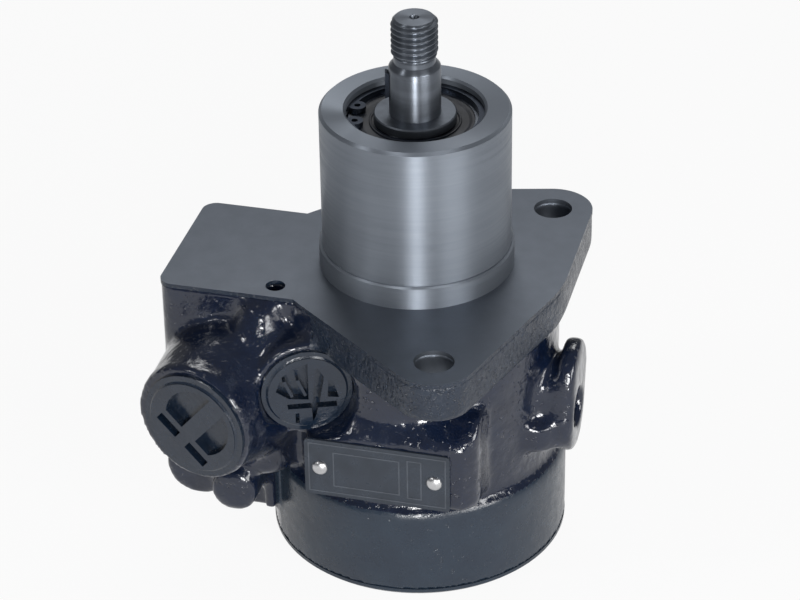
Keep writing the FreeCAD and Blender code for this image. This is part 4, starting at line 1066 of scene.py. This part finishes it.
@dataclass
class Rivets:
    """Round-headed drive rivets that hold the name plate."""

    finishes: Finishes
    count: int = 2
    pitch: float = 40.2 * MM
    first_x: float = -20.9 * MM
    level: float = -54.4 * MM
    plate_face: float = -54.6 * MM
    head_radius: float = 2.75 * MM
    head_height: float = 1.5 * MM
    shank_radius: float = 1.3 * MM
    shank_length: float = 4.6 * MM
    lap: float = 0.3 * MM
    head_sides: int = 40
    head_rings: int = 24
    shank_sides: int = 32

    def build(self) -> None:
        """Makes every rivet from one head and shank."""
        grow = Growth("drive_rivets", self.finishes.bright.build())
        radius = grow.size("Head radius", self.head_radius)
        height = grow.size("Head height", self.head_height)
        shank = grow.size("Shank radius", self.shank_radius)
        length = grow.size("Shank length", self.shank_length)
        pitch = grow.size("Pitch", self.pitch)
        count = grow.size("Count", self.count, "NodeSocketInt")
        ball = grow.add(
            "GeometryNodeMeshUVSphere", Segments=self.head_sides, Rings=self.head_rings, Radius=1.0
        )
        shape = grow.vector(radius, radius, height)
        dome = grow.add("GeometryNodeTransform", Geometry=ball, Scale=shape)
        # A box wider than the head cuts away the lower half of the dome.
        depth = reckon(grow.tree, "MULTIPLY", height, 2.0)
        wide = reckon(grow.tree, "MULTIPLY", radius, 3.0)
        under = grow.add(
            "GeometryNodeTransform",
            Geometry=grow.add("GeometryNodeMeshCube", Size=grow.vector(wide, wide, depth)),
            Translation=grow.vector(0.0, 0.0, reckon(grow.tree, "MULTIPLY", depth, -0.5)),
        )
        head = grow.add(
            "GeometryNodeMeshBoolean", operation="DIFFERENCE", Mesh__1=dome, Mesh__2=under
        )
        half = reckon(grow.tree, "MULTIPLY", length, -0.5)
        middle = reckon(grow.tree, "ADD", half, self.lap)
        stem = grow.add(
            "GeometryNodeTransform",
            Geometry=grow.add(
                "GeometryNodeMeshCylinder", Vertices=self.shank_sides, Radius=shank, Depth=length
            ),
            Translation=grow.vector(0.0, 0.0, middle),
        )
        rivet = grow.add("GeometryNodeMeshBoolean", operation="UNION", Mesh=[head, stem])
        row = grow.add("GeometryNodeMeshLine", Count=count, Offset=grow.vector(pitch, 0.0, 0.0))
        outwards = (math.pi / 2, 0.0, 0.0)
        turned = grow.add("GeometryNodeTransform", Geometry=rivet, Rotation=outwards)
        mesh = grow.mesh(grow.add("GeometryNodeInstanceOnPoints", Points=row, Instance=turned))
        mesh.transform(Matrix.Translation((self.first_x, self.plate_face, self.level)))
        piece = settle("plate_drive_rivets", mesh, Body.PUMP)
        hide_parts("plate_rivets")


@dataclass
class SealRings:
    """Raised lips round the rubber seal of the bearing."""

    finishes: Finishes
    count: int = 2
    inner: float = 15.2 * MM
    step: float = 5.2 * MM
    level: float = 54.2 * MM
    half_width: float = 0.42 * MM
    half_height: float = 0.22 * MM
    sides: int = 96
    bead_sides: int = 12

    def build(self) -> None:
        """Makes each lip as a flat bead swept along a circle."""
        grow = Growth("bearing_seal_lips", self.finishes.rubber.build())
        inner = grow.size("Inner radius", self.inner)
        step = grow.size("Step", self.step)
        count = grow.size("Count", self.count, "NodeSocketInt")
        half_width = grow.size("Half width", self.half_width)
        half_height = grow.size("Half height", self.half_height)
        row = grow.add("GeometryNodeMeshLine", Count=count, Offset=(0.0, 0.0, 0.0))
        order = grow.add("GeometryNodeInputIndex")
        radius = reckon(grow.tree, "ADD", inner, reckon(grow.tree, "MULTIPLY", step, order))
        circle, bead = (
            grow.add("GeometryNodeCurvePrimitiveCircle", Resolution=sides, Radius=1.0)
            for sides in (self.sides, self.bead_sides)
        )
        size = grow.vector(radius, radius, 1.0)
        rings = grow.add("GeometryNodeInstanceOnPoints", Points=row, Instance=circle, Scale=size)
        size = grow.vector(half_width, half_height, 1.0)
        bead = grow.add("GeometryNodeTransform", Geometry=bead, Scale=size)
        paths = grow.add("GeometryNodeRealizeInstances", Geometry=rings)
        mesh = grow.mesh(grow.add("GeometryNodeCurveToMesh", Curve=paths, Profile__Curve=bead))
        mesh.transform(Matrix.Translation((0.0, 0.0, self.level)))
        settle("bearing_seal_lips", mesh, Body.PUMP, smooth=None)


@dataclass(frozen=True)
class CoilSpring:
    """A spring of the valve; the real spring shortens as the piece that it pushes on moves back,
    and this copy keeps its length.
    """

    node: str
    body: Body
    joint: str
    travel: float
    finishes: Finishes

    def build(self) -> None:
        """Copies the spring, dresses it and gives the piece its own mesh."""
        mesh = merged_copy(self.node)
        mesh.materials.append(self.finishes.spring.build())
        piece = settle(f"{self.node}_coil", mesh, self.body)
        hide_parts(self.node)
        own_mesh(piece)


@dataclass
class CarriedNodes:
    """CAD nodes whose shape stays, each with its finish."""

    finishes: Finishes

    def table(self) -> dict[str, Finish]:
        """Finish of each node that isn't replaced and isn't plain ground steel.

        Returns:
            Node name to finish.
        """
        use = self.finishes
        return {
            "suction_plug": use.plastic, "pressure_plug": use.plastic, "name_plate": use.plate,
            # The rear cover takes the drum paint, whose lighter colour is painted floor light.
            "disc_key": use.dark, "bearing_circlip": use.dark, "rear_cover": use.drum_painted_floor_light,
            "bearing_inner_ring": use.polished, "bearing_outer_ring": use.polished,
            "bearing_balls": use.polished, "relief_ball": use.polished,
            "bearing_cage": use.spring, "cover_snap_ring": use.spring, "plate_spring": use.spring,
            "bearing_seal_outer": use.rubber, "bearing_seal_inner": use.rubber,
            "shaft_seal": use.rubber, "cover_seal": use.rubber,
            "shaft_bush": use.bronze, "relief_seat": use.bronze, "valve_washer": use.bright,
        }

    def build(self) -> None:
        """Dresses every CAD node that is still shown."""
        made: dict[str, Material] = {}
        chosen = self.table()
        for name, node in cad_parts.items():
            if node.hide_render:
                continue
            finish = chosen.get(name, self.finishes.ground)
            if finish.name not in made:
                made[finish.name] = finish.build()
            for slot in node.material_slots:
                slot.material = made[finish.name]
            log.info("%s: CAD node in %s", name, finish.name)


@dataclass(frozen=True)
class Lamp:
    """A soft rectangular lamp, with its width, height and power in watts."""

    name: str
    place: Place
    size: tuple[float, float]
    power: float

    def build(self, aim: Place) -> None:
        """Adds the lamp to the scene.

        Args:
            aim: point that it shines at.
        """
        data = bpy.data.lights.new(self.name, "AREA")
        data.shape = "RECTANGLE"
        data.size, data.size_y = self.size
        data.energy = self.power
        lamp = placed(self.name, data)
        lamp.location = self.place
        way = Vector(aim) - Vector(self.place)
        lamp.rotation_euler = way.to_track_quat("-Z", "Y").to_euler()


@dataclass
class Studio:
    """Pale floor, soft lamps and the camera; floor level and camera place in millimetres."""

    floor_level: float = -105.92
    floor_half: float = 4.0
    floor_grey: float = 0.86
    floor_glow: float = 0.92
    floor_shine: float = 0.55
    sky: Colour = (0.9, 0.93, 1.0)
    sky_strength: float = 0.13
    sky_shine: float = 0.05
    camera_place: Place = (222.3, -853.1, 533.9)
    forward: Place = (-0.2195, 0.8191, -0.530)
    roll: float = -0.898
    lens: float = 134.4
    sensor: float = 36.0
    clip_start: float = 0.05
    aim: Place = (0.0, 0.0, -0.02)
    lamps: tuple[Lamp, ...] = (
        Lamp("key", (-0.85, -0.75, 0.95), (0.14, 0.14), 2.3),
        Lamp("side", (1.0, -0.65, 0.4), (0.7, 0.4), 7.0),
        Lamp("back", (-0.1, 0.9, 0.95), (0.9, 0.3), 3.6),
        Lamp("front", (0.3, -1.15, 0.2), (0.24, 0.3), 8.3),
    )

    def build_camera(self) -> None:
        """Places the camera where the photograph was taken from."""
        data = bpy.data.cameras.new("camera")
        data.lens = self.lens
        data.sensor_width = self.sensor
        data.clip_start = self.clip_start
        camera = placed("camera", data)
        ahead = Vector(self.forward).normalized()
        right = ahead.cross(Vector((0, 0, 1))).normalized()
        up = right.cross(ahead)
        tilt = math.radians(self.roll)
        turned_right = right * math.cos(tilt) + up * math.sin(tilt)
        turned_up = up * math.cos(tilt) - right * math.sin(tilt)
        basis = Matrix((turned_right, turned_up, -ahead)).transposed().to_4x4()
        camera.matrix_world = Matrix.Translation(Vector(self.camera_place) * MM) @ basis
        bpy.context.scene.camera = camera

    def seen(self, tree: Tree, shine: float) -> Socket:
        """Share of white: one for what the camera sees, less for what the pump mirrors.

        Args:
            tree: node tree of the floor or the world.
            shine: share in reflections.

        Returns:
            The share.
        """
        path = add_node(tree, "ShaderNodeLightPath").outputs
        mirrored = reckon(tree, "MAXIMUM", path["Is Glossy Ray"], path["Is Transmission Ray"])
        weak = reckon(tree, "MULTIPLY", mirrored, shine)
        return reckon(tree, "MAXIMUM", path["Is Camera Ray"], weak)

    def end_tree(
        self, tree: Tree, output: str, share: Socket, lit: bpy.types.Node, white: bpy.types.Node
    ) -> None:
        """Ends the node tree of the floor or the world with a mix of two shaders.

        Args:
            tree: tree to end.
            output: Blender's name of the output node.
            share: share of the white shader.
            lit: shader that lights the pump.
            white: shader that the camera sees.
        """
        mix = add_node(tree, "ShaderNodeMixShader", Fac=share)
        for place, shader in enumerate((lit, white), start=1):
            feed(tree, mix.inputs[place], shader.outputs[0])
        add_node(tree, output, Surface=mix.outputs[0])

    def build_floor(self) -> None:
        """Makes the pale floor, which keeps a soft shadow."""
        form = bmesh.new()
        bmesh.ops.create_grid(form, x_segments=1, y_segments=1, size=self.floor_half)
        bmesh.ops.translate(form, verts=form.verts, vec=(0, 0, self.floor_level * MM))
        floor = placed("floor", drawn("floor", form))
        material = bpy.data.materials.new("pale_floor")
        material.use_nodes = True
        tree = material.node_tree
        tree.nodes.clear()
        grey = (self.floor_grey, self.floor_grey, self.floor_grey, 1.0)
        matte = add_node(tree, "ShaderNodeBsdfDiffuse", Color=grey)
        glow = add_node(tree, "ShaderNodeEmission", Color=(1.0, 1.0, 1.0, 1.0))
        share = reckon(tree, "MULTIPLY", self.seen(tree, self.floor_shine), self.floor_glow)
        self.end_tree(tree, "ShaderNodeOutputMaterial", share, matte, glow)
        floor.data.materials.append(material)

    def build_world(self) -> None:
        """Lights the pump evenly and shows white behind it."""
        world = bpy.data.worlds.new("studio")
        bpy.context.scene.world = world
        world.use_nodes = True
        tree = world.node_tree
        tree.nodes.clear()
        sky = (*self.sky, 1.0)
        soft = add_node(tree, "ShaderNodeBackground", Color=sky, Strength=self.sky_strength)
        white = add_node(tree, "ShaderNodeBackground", Color=(1.0, 1.0, 1.0, 1.0))
        share = self.seen(tree, self.sky_shine)
        self.end_tree(tree, "ShaderNodeOutputWorld", share, soft, white)

    def build(self) -> None:
        """Makes the whole studio."""
        self.build_camera()
        self.build_floor()
        self.build_world()
        for lamp in self.lamps:
            lamp.build(self.aim)
        bpy.context.scene.view_settings.view_transform = "Standard"


def main() -> None:
    """Builds the pump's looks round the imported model."""
    logging.basicConfig(level=logging.INFO, format="%(name)s: %(message)s")
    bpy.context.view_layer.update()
    finishes = Finishes()
    Studio().build()
    Housing(finishes).build()
    Shaft(finishes).build()
    NamePlate(finishes).build()
    Rivets(finishes).build()
    SealRings(finishes).build()
    CoilSpring("valve_spring", Body.PUMP, "spool_slide", 5.0 * MM, finishes).build()
    CoilSpring("relief_spring", Body.SPOOL, "relief_ball_slide", 0.7 * MM, finishes).build()
    CarriedNodes(finishes).build()


if __name__ == "__main__":
    main()
